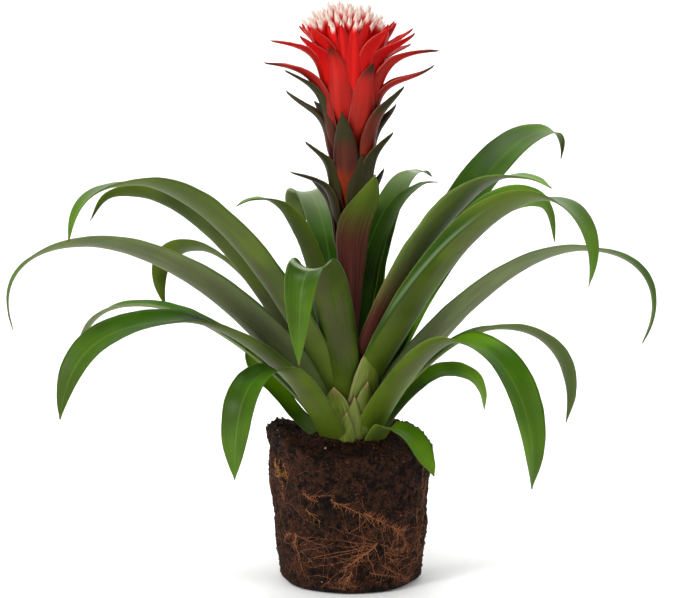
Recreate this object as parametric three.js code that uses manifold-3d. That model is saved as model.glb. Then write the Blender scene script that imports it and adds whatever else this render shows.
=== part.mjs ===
// A flowering bromeliad lifted out of its nursery pot: a rosette of strap leaves, a leafy
// flower stalk with a red, white-tipped head, and the bare root ball that kept the pot's shape.
// Millimetres, +Z up, origin at the centre of the root ball's flat underside.
// Headings are degrees in plan, anticlockwise from +X. The front of the plant faces -Y.
import * as THREE from "three";
import { mergeVertices } from "three/addons/utils/BufferGeometryUtils.js";
import Module from "manifold-3d";

const wasm = await Module();
wasm.setup();

// ---- driving dimensions ----
const GAP = 0.3; // clearance between neighbouring solids

// The ball has the taper of a 13 cm pot, with a little relief. The crown stands in a plain hole in it.
const BALL = {
  footRadius: 52,
  topRadius: 61.5,
  height: 102,
  edgeRound: 5,
  relief: 0.7,
  heap: 7.5,
  holeRadius: 28.8,
  holeFloor: 92,
  rimDrop: 2,
};
const BALL_MESH = { around: 32, sideRows: 6, topShares: [0.98, 0.82, 0.6, 0.3], holeSides: 24 };

// The leaves stand on the crown's cone, the outermost lowest. The crown itself is inset by the seat.
const CROWN = { lowRadius: 24, lowHeight: 96, highRadius: 6.6, highHeight: 136, seat: 0.6 };
const STALK = { radius: 4.6, neck: 152, top: 316 };
const CORE_SIDES = 12;

// The head's core as [radius, height], and the dome of floret tips round it: where the florets spring
// from, and how far the tips spread and rise from the centre.
const HEAD_CORE = [[0, 316.3], [4.6, 316.3], [6.1, 340], [14, 366], [12, 386], [7, 396], [0, 398]];
const DOME = { centre: 385, spread: 37, rise: 41, uneven: 0.05, footDrop: 16, footSpread: 7, footRise: 10 };
const FLORET = { count: 32, lean: 62, width: 10, thickness: 5, belly: 14, sides: 4 };
const FLORET_OUTLINE = [[0, 0.6], [0.6, 1], [1, 0.12]]; // [share of the length, share of the width]
const GOLDEN_ANGLE = 137.508;

// Blades: thickness, segments across, and the longest step and sharpest turn between two rings.
// baseCup, cup and tipCup are half the angle of the channel's arc at the foot, in the middle and at the tip.
const LEAF = { thickness: 0.8, across: 4, step: 46, turn: 27, cup: 36, tipCup: 20, taperFrom: 0.48 };
const SCALE = { thickness: 0.8, across: 4, step: 14, turn: 24, cup: 22, tipCup: 14, taperFrom: 0.1 };
const BRACT = { thickness: 1, across: 2, step: 26, turn: 38, baseCup: 58, cup: 52, tipCup: 34, taperFrom: 0.3 };
const SHEATH_WRAP = 2.1; // the widest foot of a leaf, in radii of the crown there
const BRACT_FOOT = { widthShare: 0.6, rise: 60, sunk: 1 };
const COLUMN = { radius: 9, from: 240, flare: 0.075, slope: 80 }; // the bracts' column widens upwards

// Shares of a blade's length: where it has its full width, its open channel and its flat end, where its
// path changes from the back of the blade to the middle of the channel, and where it starts to roll.
const FORM = { full: 0.25, open: 0.3, flatFrom: 0.35, settle: [0.05, 0.3], rollFrom: 0.1 };
const TAPER = { power: 2.5, least: 0.05 };

// Leaves from the lowest and outermost to the innermost. Each rises from the crown at the angle rise,
// passes its bow at the angle level (0 if left out) and ends at its tip at the angle end.
// bow and tip are [out from the axis, up]. arch is how roundly it falls from the bow to the tip, cup
// how deep a channel it is, and roll turns the blade about its midrib, from foot to tip, all in degrees.
const LEAVES = [
  { heading: -50, width: 21, rise: 62, bow: [48, 124], tip: [93, 92], end: -50 },
  { heading: 172, width: 25, rise: 58, bow: [56, 137], level: 44, tip: [76, 180], end: 96 },
  { heading: 98, width: 24, rise: 55, bow: [72, 143], tip: [128, 104], end: -68 },
  { heading: -120, width: 29, rise: 56, bow: [112, 175], tip: [160, 104], end: -93 },
  { heading: 25, width: 17, rise: 58, bow: [79, 151], tip: [113, 118], end: -92 },
  { heading: -42, width: 38, rise: 68, bow: [106, 192], arch: 0.38, tip: [170, 92], end: -98 },
  { heading: 77, width: 24, rise: 62, bow: [104, 179], tip: [165, 116], end: -75 },
  { heading: 168, width: 23, rise: 60, bow: [154, 196], tip: [219, 147], end: -70 },
  { heading: 15, width: 25, rise: 66, bow: [114, 185], tip: [170, 109], end: -106 },
  { heading: -150, width: 34, roll: [10, -26], rise: 64, bow: [146, 207], tip: [233, 142], end: -84 },
  { heading: 111, width: 24, rise: 66, bow: [106, 204], tip: [152, 156], end: -78 },
  { heading: -22, width: 26, rise: 64, bow: [180, 260], arch: 0.62, tip: [220, 190], end: -116 },
  { heading: -155, width: 28, rise: 67, bow: [206, 264], arch: 0.6, tip: [258, 203], end: -112 },
  { heading: 150, width: 26, rise: 66, bow: [136, 241], arch: 0.62, tip: [164, 193], end: -116 },
  { heading: 20, width: 26, rise: 66, bow: [139, 281], tip: [165, 245], end: -82 },
  { heading: -105.5, width: 37, cup: 66, tipCup: 26, rise: 76, bow: [98, 248], tip: [131, 181], end: -88 },
  { heading: 84, width: 27, rise: 66, bow: [124, 238], tip: [188, 152], end: -80 },
  { heading: -168, width: 24, rise: 65, bow: [162, 293], tip: [191, 272], end: -64 },
  { heading: -135, width: 34, roll: [0, 12], rise: 68, bow: [208, 313], tip: [263, 274], end: -84 },
  { heading: -48, width: 40, roll: [0, -14], rise: 66, bow: [194, 300], tip: [235, 242], end: -112 },
  { heading: 40, width: 40, roll: [0, 16], rise: 57, bow: [202, 326], tip: [217, 302], end: -112 },
  { heading: 97, width: 26, rise: 72, bow: [98, 266], tip: [160, 202], end: -80 },
  { heading: -50, width: 29, rise: 72, bow: [172, 313], tip: [208, 307], end: -22 },
  { heading: 112, width: 30, rise: 78, bow: [88, 283], arch: 0.7, tip: [100, 238], end: -104 },
  { heading: -140, width: 25, rise: 80, bow: [84, 290], tip: [107, 285], end: -26 },
  { heading: 52, width: 26, rise: 80, bow: [82, 299], tip: [102, 293], end: -34 },
  { heading: 30, width: 24, rise: 86, bow: [52, 288], level: 30, tip: [76, 293], end: -8 },
  { heading: -70, width: 31, cup: 68, tipCup: 40, rise: 88, bow: [21, 246], level: 77, tip: [43, 306], end: 64 },
];

// Short dry-tipped leaves pressed against the front of the rosette's foot.
const SCALES = [
  { heading: -74, width: 17, foot: [25.1, 98], rise: 86, tip: [33, 150], end: 72 },
  { heading: -88, width: 15, foot: [26.2, 97], rise: 86, tip: [33, 137], end: 72 },
  { heading: -97, width: 14, foot: [27.3, 96], rise: 86, tip: [34, 127], end: 70 },
];

// Bracts of the stalk and of the head, from below upwards. foot is the height where they leave the
// stalk. Each hugs the flower column halfway up and flares out to its tip.
const STALK_BRACTS = [
  { heading: -50, width: 20, foot: 214, tip: [24, 284], end: 60 },
  { heading: 80, width: 20, foot: 218, tip: [34, 290], end: 40 },
  { heading: 155, width: 18, foot: 232, tip: [32, 298], end: 40 },
  { heading: 20, width: 20, foot: 240, tip: [26, 306], end: 66 },
  { heading: -168, width: 17, foot: 252, tip: [45, 305], end: 18 },
  { heading: -105, width: 25, foot: 258, tip: [24, 349], end: 76 },
  { heading: 96, width: 20, foot: 268, tip: [38, 328], end: 34 },
  { heading: -160, width: 18, foot: 268, tip: [35, 327], end: 40 },
  { heading: -18, width: 20, foot: 274, tip: [33, 334], end: 46 },
  { heading: -62, width: 24, foot: 280, tip: [25, 344], end: 70 },
  { heading: 22, width: 22, foot: 284, tip: [36, 353], end: 56 },
  { heading: 132, width: 20, foot: 288, tip: [40, 354], end: 36 },
  { heading: 170, width: 18, foot: 292, tip: [48, 363], end: 44 },
  { heading: 62, width: 20, foot: 296, tip: [40, 360], end: 36 },
  { heading: -12, width: 22, foot: 298, tip: [41, 368], end: 54 },
  { heading: -165, width: 22, foot: 304, tip: [50, 379], end: 26 },
];
const HEAD_BRACTS = [
  { heading: 106, width: 20, foot: 322, tip: [54, 378], end: 16 },
  { heading: 10, width: 19, foot: 322, tip: [61, 382], end: 36 },
  { heading: -56, width: 24, foot: 322, tip: [29, 384], end: 48 },
  { heading: 178, width: 22, foot: 324, tip: [64, 384], end: 4 },
  { heading: 60, width: 20, foot: 326, tip: [56, 386], end: 16 },
  { heading: -118, width: 24, foot: 328, tip: [33, 396], end: 44 },
  { heading: -10, width: 22, foot: 332, tip: [66, 393], end: 0 },
  { heading: -86, width: 24, foot: 336, tip: [30, 403], end: 56 },
  { heading: 130, width: 19, foot: 336, tip: [56, 394], end: 18 },
  { heading: -170, width: 21, foot: 340, tip: [59, 400], end: 8 },
  { heading: 34, width: 18, foot: 342, tip: [54, 396], end: 20 },
  { heading: -32, width: 21, foot: 344, tip: [54, 406], end: 38 },
  { heading: 86, width: 18, foot: 346, tip: [50, 402], end: 24 },
  { heading: -146, width: 21, foot: 348, tip: [44, 404], end: 42 },
  { heading: 152, width: 18, foot: 350, tip: [43, 410], end: 40 },
  { heading: 14, width: 18, foot: 350, tip: [47, 408], end: 38 },
];

// Where fans of roots break the surface of the ball, as [heading, height], and the roots' sizes.
const ROOT_FANS = [
  [-142, 80], [-137, 30], [-93, 60], [-99, 12], [-62, 34], [-47, 66], [-12, 24],
  [24, 62], [66, 28], [104, 70], [142, 24], [178, 62],
];
const ROOT = { mainRadius: 1.4, sideRadius: 1.1, thinning: 0.6, sides: 3, step: 12.5 };
const FAN = { strands: 2, reach: 26, bend: 0.5, sway: 10, lowest: 6, headroom: 8, seed: 7 };

const LOOKS = {
  soil: { color: 0x2b1a12, roughness: 1 },
  root: { color: 0x8a4f2a, roughness: 0.8 },
  leaf: { color: 0x3f6b22, roughness: 0.35 },
  scale: { color: 0x8f9a3c, roughness: 0.5 },
  stalk: { color: 0x4c3a2a, roughness: 0.5 },
  head: { color: 0xc8141c, roughness: 0.4 },
};

// ---- helpers ----
const radians = THREE.MathUtils.degToRad;
const mix = THREE.MathUtils.lerp;
const smooth = THREE.MathUtils.smoothstep;
const UP = new THREE.Vector3(0, 0, 1);

// The same stream of random numbers in every run.
function randomStream(seed) {
  let state = seed;
  return () => {
    state = (state * 1664525 + 1013904223) % 4294967296;
    return state / 4294967296;
  };
}

function solidOf(geometry) {
  return new wasm.Manifold(
    new wasm.Mesh({
      numProp: 3,
      vertProperties: geometry.attributes.position.array,
      triVerts: new Uint32Array(geometry.index.array),
    }),
  );
}

function geometryOf(solid) {
  const { vertProperties, triVerts } = solid.getMesh();
  const geometry = new THREE.BufferGeometry();
  geometry.setAttribute("position", new THREE.BufferAttribute(vertProperties, 3));
  geometry.setIndex(new THREE.BufferAttribute(triVerts, 1));
  return geometry;
}

function joined(geometries) {
  return geometries.map(solidOf).reduce((whole, solid) => whole.add(solid));
}

// The largest piece of a solid, so that a trimmed sheath leaves no scraps.
function largestPiece(solid) {
  return solid.decompose().reduce((best, piece) => (piece.volume() > best.volume() ? piece : best));
}

// A closed skin over rings of equally many points. Each end is closed by a zigzag across its ring,
// which keeps inside a thin curved ring too.
function skin(rings) {
  const size = rings[0].length;
  const positions = rings.flat().flatMap((point) => point.toArray());
  const index = [];
  rings.slice(1).forEach((_, i) => {
    for (let j = 0; j < size; j++) {
      const [a, b] = [i * size + j, i * size + ((j + 1) % size)];
      index.push(a, b, b + size, a, b + size, a + size);
    }
  });
  const last = (rings.length - 1) * size;
  for (let near = 0, far = size - 1; far - near > 1; near++, far--) {
    index.push(near, far, near + 1, last + near, last + near + 1, last + far);
    if (far - near > 2) {
      index.push(near + 1, far, far - 1, last + near + 1, last + far - 1, last + far);
    }
  }
  const geometry = new THREE.BufferGeometry();
  geometry.setAttribute("position", new THREE.Float32BufferAttribute(positions, 3));
  geometry.setIndex(index);
  return mergeVertices(geometry, 1e-3);
}

function lathe(profile, sides) {
  const geometry = new THREE.LatheGeometry(profile.map(([r, z]) => new THREE.Vector2(r, z)), sides);
  geometry.rotateX(Math.PI / 2);
  geometry.deleteAttribute("normal");
  geometry.deleteAttribute("uv");
  return mergeVertices(geometry, 1e-3);
}

// ---- blades: leaves, scales and bracts, drawn with their heading along +X ----
// Handle lengths as shares of the chord: at the foot, before the bow and at the tip.
const HANDLES = { foot: 0.36, before: 0.26, tip: 0.45 };
const PATH_SAMPLES = 120;
const FEWEST_RINGS = 4;

const along = (degrees, length) =>
  new THREE.Vector3(Math.cos(radians(degrees)), 0, Math.sin(radians(degrees))).multiplyScalar(length);

// A cubic bow in the XZ plane between two [out, up] points with given slopes.
function bow(from, slopeFrom, to, slopeTo, handleFrom, handleTo) {
  const [a, d] = [from, to].map(([out, up]) => new THREE.Vector3(out, 0, up));
  const chord = a.distanceTo(d);
  const b = a.clone().add(along(slopeFrom, handleFrom * chord));
  const c = d.clone().sub(along(slopeTo, handleTo * chord));
  return new THREE.CubicBezierCurve3(a, b, c, d);
}

function midribOf({ foot, rise, bow: top, level = 0, arch = 0.5, tip, end }) {
  const path = new THREE.CurvePath();
  if (top) {
    path.add(bow(foot, rise, top, level, HANDLES.foot, HANDLES.before));
    path.add(bow(top, level, tip, end, arch, HANDLES.tip));
  } else {
    path.add(bow(foot, rise, tip, end, HANDLES.foot, HANDLES.tip));
  }
  return path;
}

// Places rings along the midrib so that each step is short and turns little.
function ringPlaces(midrib, { step, turn }) {
  const cost = [0];
  for (let i = 1; i <= PATH_SAMPLES; i++) {
    const [before, after] = [i - 1, i].map((k) => midrib.getTangentAt(k / PATH_SAMPLES));
    const length = midrib.getLength() / PATH_SAMPLES;
    cost.push(cost[i - 1] + length / step + before.angleTo(after) / radians(turn));
  }
  const whole = cost[PATH_SAMPLES];
  const rings = Math.max(FEWEST_RINGS, Math.round(whole));
  return Array.from({ length: rings + 1 }, (_, k) => {
    const wanted = (whole * k) / rings;
    const i = Math.max(1, cost.findIndex((c) => c >= wanted - 1e-9));
    const within = (wanted - cost[i - 1]) / (cost[i] - cost[i - 1]);
    return THREE.MathUtils.clamp((i - 1 + within) / PATH_SAMPLES, 0, 1);
  });
}

// A strap that keeps its width and then narrows to a point, as a share of the full width.
function strapShare(u, taperFrom) {
  const t = Math.max(0, (u - taperFrom) / (1 - taperFrom));
  return Math.max(TAPER.least, 1 - t ** TAPER.power);
}

// A blade is a shallow gutter along its midrib. extra grows it on every side.
function blade(shape, style, extra = 0) {
  const { width, baseWidth, baseCup, cup, tipCup, taperFrom, roll = [0, 0] } = { ...style, ...shape };
  const midrib = midribOf(shape);
  const across = new THREE.Vector3(0, 1, 0);
  const rings = ringPlaces(midrib, style).map((u) => {
    const tangent = midrib.getTangentAt(u);
    const side = across.clone().applyAxisAngle(tangent, radians(mix(...roll, smooth(u, FORM.rollFrom, 1))));
    const upper = tangent.clone().cross(side);
    const half = (mix(baseWidth, width, smooth(u, 0, FORM.full)) * strapShare(u, taperFrom)) / 2;
    const channel = mix(baseCup, cup, smooth(u, 0, FORM.open));
    const opening = radians(mix(channel, tipCup, smooth(u, FORM.flatFrom, 1)));
    const radius = half / opening;
    const depth = radius * (1 - Math.cos(opening));
    const sag = (depth / 2) * smooth(u, ...FORM.settle);
    const centre = midrib.getPointAt(u).addScaledVector(upper, radius - sag);
    const face = (reach, from) =>
      Array.from({ length: style.across + 1 }, (_, j) => {
        const angle = from * ((2 * j) / style.across - 1) * (opening + extra / radius);
        const point = centre.clone().addScaledVector(side, reach * Math.sin(angle));
        return point.addScaledVector(upper, -reach * Math.cos(angle));
      });
    const inner = radius - Math.min(extra, radius / 2);
    return [...face(radius + style.thickness + extra, 1), ...face(inner, -1)];
  });
  return skin(rings);
}

// Leaf number k of the rosette stands on the crown and wraps it with its sheath.
function leafShape(leaf, k) {
  const t = k / (LEAVES.length - 1);
  const radius = mix(CROWN.lowRadius, CROWN.highRadius, t);
  const baseWidth = Math.min(leaf.width, SHEATH_WRAP * radius);
  return {
    ...leaf,
    foot: [radius, mix(CROWN.lowHeight, CROWN.highHeight, t)],
    baseWidth,
    baseCup: THREE.MathUtils.radToDeg(baseWidth / 2 / radius),
  };
}

function bractShape(bract) {
  const middle = (bract.foot + bract.tip[1]) / 2;
  return {
    ...bract,
    foot: [STALK.radius - BRACT_FOOT.sunk, bract.foot],
    bow: [COLUMN.radius + COLUMN.flare * (middle - COLUMN.from), middle],
    level: COLUMN.slope,
    baseWidth: BRACT_FOOT.widthShare * bract.width,
    rise: BRACT_FOOT.rise,
  };
}

const turned = (geometry, heading) => geometry.clone().rotateZ(radians(heading));
const bractBlade = (bract, extra) => turned(blade(bractShape(bract), BRACT, extra), bract.heading);
const core = (profile, extra) => lathe(profile.map(([r, z]) => [r && r + extra, z]), CORE_SIDES);

// ---- the crown and the stalk ----
function stalkSolid(extra = 0) {
  const low = CROWN.lowRadius - CROWN.seat;
  const profile = [
    [0, BALL.holeFloor + GAP],
    [low, BALL.holeFloor + GAP],
    [low, CROWN.lowHeight - GAP],
    [CROWN.highRadius - CROWN.seat, CROWN.highHeight - GAP],
    [STALK.radius, STALK.neck],
    [STALK.radius, STALK.top],
    [0, STALK.top],
  ];
  return joined([core(profile, extra), ...STALK_BRACTS.map((bract) => bractBlade(bract, extra))]);
}

// ---- the flower head ----
// A floret is a plump pointed boat that leans out from the core to the dome of white tips.
function floret(index, extra) {
  const share = (index + 0.5) / FLORET.count;
  const lean = Math.acos(1 - share * (1 - Math.cos(radians(FLORET.lean))));
  const reach = 1 - DOME.uneven * Math.sin(radians(index * GOLDEN_ANGLE));
  const [s, c] = [Math.sin(lean), Math.cos(lean)];
  const foot = [DOME.footSpread * s, DOME.centre - DOME.footDrop + DOME.footRise * c];
  const tip = [DOME.spread * s * reach, DOME.centre + DOME.rise * c * reach];
  const lead = 90 - THREE.MathUtils.radToDeg(lean);
  const midrib = midribOf({ foot, rise: lead - FLORET.belly, tip, end: lead + FLORET.belly });
  const rings = FLORET_OUTLINE.map(([u, size]) => {
    const centre = midrib.getPointAt(u);
    const upper = midrib.getTangentAt(u).cross(new THREE.Vector3(0, 1, 0));
    return Array.from({ length: FLORET.sides }, (_, j) => {
      const angle = (2 * Math.PI * j) / FLORET.sides;
      const y = ((size * FLORET.width) / 2 + extra) * Math.cos(angle);
      const n = ((size * FLORET.thickness) / 2 + extra) * Math.sin(angle);
      return centre.clone().addScaledVector(upper, n).add(new THREE.Vector3(0, y, 0));
    });
  });
  return turned(skin(rings), index * GOLDEN_ANGLE);
}

function headSolid(extra = 0) {
  const florets = Array.from({ length: FLORET.count }, (_, index) => floret(index, extra));
  const bracts = HEAD_BRACTS.map((bract) => bractBlade(bract, extra));
  return joined([core(HEAD_CORE, extra), ...bracts, ...florets]);
}

// ---- the root ball ----
// Waves round the ball as [size, turns round, turns per row, start], and the height of a row.
const WAVES = [[1, 3, 1, 0], [0.7, 5, -1.7, 1], [0.5, 8, 2.3, 2]];
const WAVE_ROW = 14;
function lumps(angle, row) {
  return WAVES.reduce((sum, [size, round, rise, start]) => {
    return sum + size * Math.sin(round * angle + rise * row + start);
  }, 0);
}

// Radius of the ball's side at an angle in radians and a height.
function ballRadius(angle, height) {
  const cone = mix(BALL.footRadius, BALL.topRadius, height / BALL.height);
  return cone + BALL.relief * lumps(angle, height / WAVE_ROW);
}

// Height of the soil, a little heaped at the left. share runs from the middle to the rim.
function soilHeight(angle, share) {
  const heap = BALL.heap * smooth(-Math.cos(angle), 0.3, 0.95) * smooth(share, 0.55, 0.95);
  return BALL.height + heap + BALL.relief * lumps(angle + 2, 5 * share) * smooth(share, 0.1, 0.5);
}

function ballGeometry(extra = 0) {
  const ring = (radiusAt, heightAt) =>
    Array.from({ length: BALL_MESH.around }, (_, j) => {
      const angle = (j / BALL_MESH.around) * 2 * Math.PI;
      const r = radiusAt(angle);
      return new THREE.Vector3(r * Math.cos(angle), r * Math.sin(angle), heightAt(angle));
    });
  const round = BALL.edgeRound;
  const edge = [[round, 0], [round * 0.3, round * 0.3]]; // [in from the side, up] on the rounded foot
  const rings = edge.map(([inward, up]) => ring((a) => ballRadius(a, 0) - inward + extra, () => up - extra));
  for (let row = 0; row <= BALL_MESH.sideRows; row++) {
    const height = (a) => mix(round, soilHeight(a, 1) - BALL.rimDrop, row / BALL_MESH.sideRows);
    rings.push(ring((a) => ballRadius(a, height(a)) + extra, height));
  }
  for (const share of BALL_MESH.topShares)
    rings.push(ring((a) => ballRadius(a, BALL.height) * share, (a) => soilHeight(a, share) + extra));
  return skin(rings);
}

function ballSolid(extra = 0) {
  const { holeRadius, holeFloor, height, heap } = BALL;
  const above = height + 2 * heap;
  const profile = [[0, holeFloor], [holeRadius, holeFloor], [holeRadius, above], [0, above]];
  return solidOf(ballGeometry(extra)).subtract(solidOf(lathe(profile, BALL_MESH.holeSides)));
}

// ---- the roots that web the ball's side ----
// A root is a thin rod on the ball, through points given as [heading, height].
function root(route, radius) {
  const points = route.map(([heading, height]) => {
    const r = ballRadius(radians(heading), height) + 2 * GAP + 0.5 * radius;
    return new THREE.Vector3(r, 0, height).applyAxisAngle(UP, radians(heading));
  });
  const curve = new THREE.CatmullRomCurve3(points, false, "catmullrom", 0.5);
  const steps = Math.max(2, Math.round(curve.getLength() / ROOT.step));
  const rings = Array.from({ length: steps + 1 }, (_, i) => {
    const centre = curve.getPointAt(i / steps);
    const tangent = curve.getTangentAt(i / steps);
    const outward = new THREE.Vector3(centre.x, centre.y, 0).normalize();
    outward.addScaledVector(tangent, -outward.dot(tangent)).normalize();
    const sideways = tangent.clone().cross(outward);
    const size = radius * mix(1, ROOT.thinning, i / steps);
    return Array.from({ length: ROOT.sides }, (_, j) => {
      const angle = (j / ROOT.sides) * 2 * Math.PI;
      const point = centre.clone().addScaledVector(outward, size * Math.cos(angle));
      return point.addScaledVector(sideways, size * Math.sin(angle));
    });
  });
  return skin(rings);
}

// A main root runs from each fan to the next round the ball, and short ones spread from each fan.
function rootsSolid() {
  const random = randomStream(FAN.seed);
  const rods = ROOT_FANS.flatMap(([heading, height], i) => {
    const [nextHeading, nextHeight] = ROOT_FANS[(i + 1) % ROOT_FANS.length];
    const turn = THREE.MathUtils.euclideanModulo(nextHeading - heading + 180, 360) - 180;
    const middle = [heading + turn / 2, (height + nextHeight) / 2 + FAN.sway * (random() - 0.5)];
    const main = root([[heading, height], middle, [heading + turn, nextHeight]], ROOT.mainRadius);
    const strands = Array.from({ length: FAN.strands }, (_, k) => {
      const way = (2 * Math.PI * (k + 0.7 * random())) / FAN.strands;
      const reach = FAN.reach * (0.6 + 0.6 * random());
      const bend = FAN.bend * (random() - 0.5);
      const at = (share, direction) => [
        heading + THREE.MathUtils.radToDeg((share * reach * Math.cos(direction)) / BALL.topRadius),
        THREE.MathUtils.clamp(
          height + share * reach * Math.sin(direction),
          FAN.lowest,
          BALL.height - FAN.headroom,
        ),
      ];
      return root([[heading, height], at(0.5, way), at(1, way + bend)], ROOT.sideRadius);
    });
    return [main, ...strands];
  });
  return joined(rods).subtract(solidOf(ballGeometry(GAP)));
}

// ---- assembly ----
// Solids already placed, each grown by the clearance. A later solid is trimmed by those it would touch.
const placed = [];

function place(group, name, look, solid, grown, heading = 0) {
  const trimmed = placed.reduce((rest, other) => rest.subtract(other), solid);
  placed.push(grown);
  const geometry = geometryOf(largestPiece(trimmed)).rotateZ(-radians(heading));
  geometry.computeVertexNormals();
  const mesh = new THREE.Mesh(geometry, new THREE.MeshStandardMaterial({ ...LOOKS[look], metalness: 0 }));
  mesh.name = name;
  mesh.rotation.z = radians(heading);
  group.add(mesh);
}

function placeBlade(group, name, look, shape, style) {
  const [solid, grown] = [0, GAP].map((extra) => solidOf(turned(blade(shape, style, extra), shape.heading)));
  place(group, name, look, solid, grown, shape.heading);
}

const plant = new THREE.Group();
const [soil, flower, rosette] = [new THREE.Group(), new THREE.Group(), new THREE.Group()];
plant.add(soil, flower, rosette);

place(soil, "root_ball", "soil", ballSolid(), ballSolid(GAP));
place(soil, "roots", "root", rootsSolid(), rootsSolid());
place(flower, "flower_stalk", "stalk", stalkSolid(), stalkSolid(GAP));
place(flower, "flower_head", "head", headSolid(), headSolid(GAP));
LEAVES.forEach((leaf, k) => {
  placeBlade(rosette, `leaf_${String(k + 1).padStart(2, "0")}`, "leaf", leafShape(leaf, k), LEAF);
});
SCALES.forEach((scale, k) => {
  const shape = { ...scale, baseWidth: scale.width, baseCup: SCALE.cup };
  placeBlade(rosette, `base_scale_${k + 1}`, "scale", shape, SCALE);
});

export default plant;
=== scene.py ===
# %% [markdown]
# # A bromeliad with its bare root ball
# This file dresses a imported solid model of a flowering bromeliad. Every piece is made in metres, in the
# model's own frame: +Z is up, the origin is the middle of the root ball's flat foot, and the front of the
# plant faces -Y. The cells go from the camera to the leaves, the root ball, the flower and the light.

import math
import random

import bpy
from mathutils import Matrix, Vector


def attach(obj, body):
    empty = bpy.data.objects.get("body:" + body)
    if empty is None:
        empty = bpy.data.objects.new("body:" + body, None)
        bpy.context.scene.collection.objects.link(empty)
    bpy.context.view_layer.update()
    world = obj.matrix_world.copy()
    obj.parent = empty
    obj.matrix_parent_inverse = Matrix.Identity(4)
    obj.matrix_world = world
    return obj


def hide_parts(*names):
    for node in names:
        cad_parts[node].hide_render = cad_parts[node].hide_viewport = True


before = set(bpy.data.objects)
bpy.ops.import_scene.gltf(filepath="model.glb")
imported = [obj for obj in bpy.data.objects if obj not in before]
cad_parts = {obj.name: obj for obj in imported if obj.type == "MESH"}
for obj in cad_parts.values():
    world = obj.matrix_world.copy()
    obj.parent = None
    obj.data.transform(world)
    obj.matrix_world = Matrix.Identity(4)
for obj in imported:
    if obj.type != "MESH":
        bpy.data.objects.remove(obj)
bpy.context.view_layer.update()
MM = 0.001

# %% [markdown]
# ## The camera
# The plant was photographed from a little above its middle with a long lens, so far leaves look almost as
# large as near ones. The lens follows from how many millimetres one pixel covers at the stalk.

# %% Camera
IMAGE_WIDTH = 680
SENSOR = 36.0
CAMERA_DISTANCE = 1.8
CAMERA_ELEVATION = math.radians(8)
METRES_PER_PIXEL = 0.0007365
CAMERA_TARGET = Vector((-0.0077, 0, 0.210))
FAR_CLIP = 50


def placed(name, data):
    """A new object of the data, in the scene."""
    made = bpy.data.objects.new(name, data)
    bpy.context.scene.collection.objects.link(made)
    return made


camera = placed("camera", bpy.data.cameras.new("camera"))
back = Vector((0, -math.cos(CAMERA_ELEVATION), math.sin(CAMERA_ELEVATION)))
camera.location = CAMERA_TARGET + CAMERA_DISTANCE * back
camera.rotation_euler = (math.pi / 2 - CAMERA_ELEVATION, 0, 0)
camera.data.sensor_width = SENSOR
camera.data.lens = CAMERA_DISTANCE / METRES_PER_PIXEL * SENSOR / IMAGE_WIDTH
camera.data.clip_end = FAR_CLIP
bpy.context.scene.camera = camera
print("lens", round(camera.data.lens, 1), "mm")

# %% [markdown]
# ## Helpers for node trees
# Every rule and every finish below is a node tree. Short helpers write a node and its links in one line,
# always in the tree that was opened last. A wire is a node's output. A sum or product of wires adds the math
# node that works it out, so that a rule reads as plain arithmetic.

# %% Node helpers
OPENED = []


class Wire:
    """A node's output, for another node's input or for arithmetic."""

    def __init__(self, socket):
        self.socket = socket
        self.is_vector = socket.type == "VECTOR"

    def __add__(self, other):
        return combined("ADD", self, other)

    def __sub__(self, other):
        return combined("SUBTRACT", self, other)

    def __rsub__(self, other):
        return combined("SUBTRACT", other, self)

    def __mul__(self, other):
        return combined("MULTIPLY", self, other)

    def __truediv__(self, other):
        return combined("DIVIDE", self, other)

    def __pow__(self, other):
        return combined("POWER", self, other)


def feed(socket, value):
    """Links a wire to the socket, or sets any other value on it."""
    if isinstance(value, Wire):
        OPENED[-1].links.new(value.socket, socket)
    else:
        socket.default_value = value


def node(kind, values=None, **settings):
    made = OPENED[-1].nodes.new(kind)
    for name, value in settings.items():
        setattr(made, name, value)
    for key, value in (values or {}).items():
        feed(made.inputs[key], value)
    return made


def wire(kind, values=None, output=0, **settings):
    """One output of a new node."""
    return Wire(node(kind, values, **settings).outputs[output])


def wires(kind, values=None, **settings):
    """All outputs of a new node, by their names."""
    return {socket.name: Wire(socket) for socket in node(kind, values, **settings).outputs}


# %% Arithmetic with nodes
def calc(operation, *values):
    return wire("ShaderNodeMath", dict(enumerate(values)), operation=operation)


def vector(operation, *values):
    output = 1 if operation == "LENGTH" else 0
    return wire("ShaderNodeVectorMath", dict(enumerate(values)), output, operation=operation)


def combined(operation, first, second):
    """Numbers are worked out as numbers, vectors as vectors, and a vector times a number is scaled."""
    if not getattr(first, "is_vector", False):
        return calc(operation, first, second)
    if isinstance(second, tuple) or getattr(second, "is_vector", False):
        return vector(operation, first, second)
    return wire("ShaderNodeVectorMath", {0: first, 3: second}, operation="SCALE")


def ease(value, low, high, start=0.0, end=1.0, kind="SMOOTHSTEP"):
    """value eased from start to end while it goes from low to high."""
    values = dict(enumerate([value, low, high, start, end]))
    return wire("ShaderNodeMapRange", values, interpolation_type=kind)


def xyz(x, y, z):
    return wire("ShaderNodeCombineXYZ", {0: x, 1: y, 2: z})


def split(place):
    """The three parts of a vector."""
    return [Wire(part) for part in node("ShaderNodeSeparateXYZ", {0: place}).outputs]


def noise(where, scale, detail=3.0, roughness=0.5):
    values = {"Vector": where, "Scale": scale, "Detail": detail, "Roughness": roughness}
    return wire("ShaderNodeTexNoise", values)


# %% [markdown]
# ## Geometry trees that make a whole piece
# A piece could be modelled face by face, but a plant's parts follow rules, and a rule is easier to correct.
# So each kind of piece is a tree with named inputs. It is run once on a bare object, its result is kept as a
# plain mesh, and the modifier goes. Each piece ends as a mesh with its own name, which rides on the model.


# %% Open and close a rule
KINDS = {float: "Float", int: "Int", tuple: "Vector"}


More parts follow.
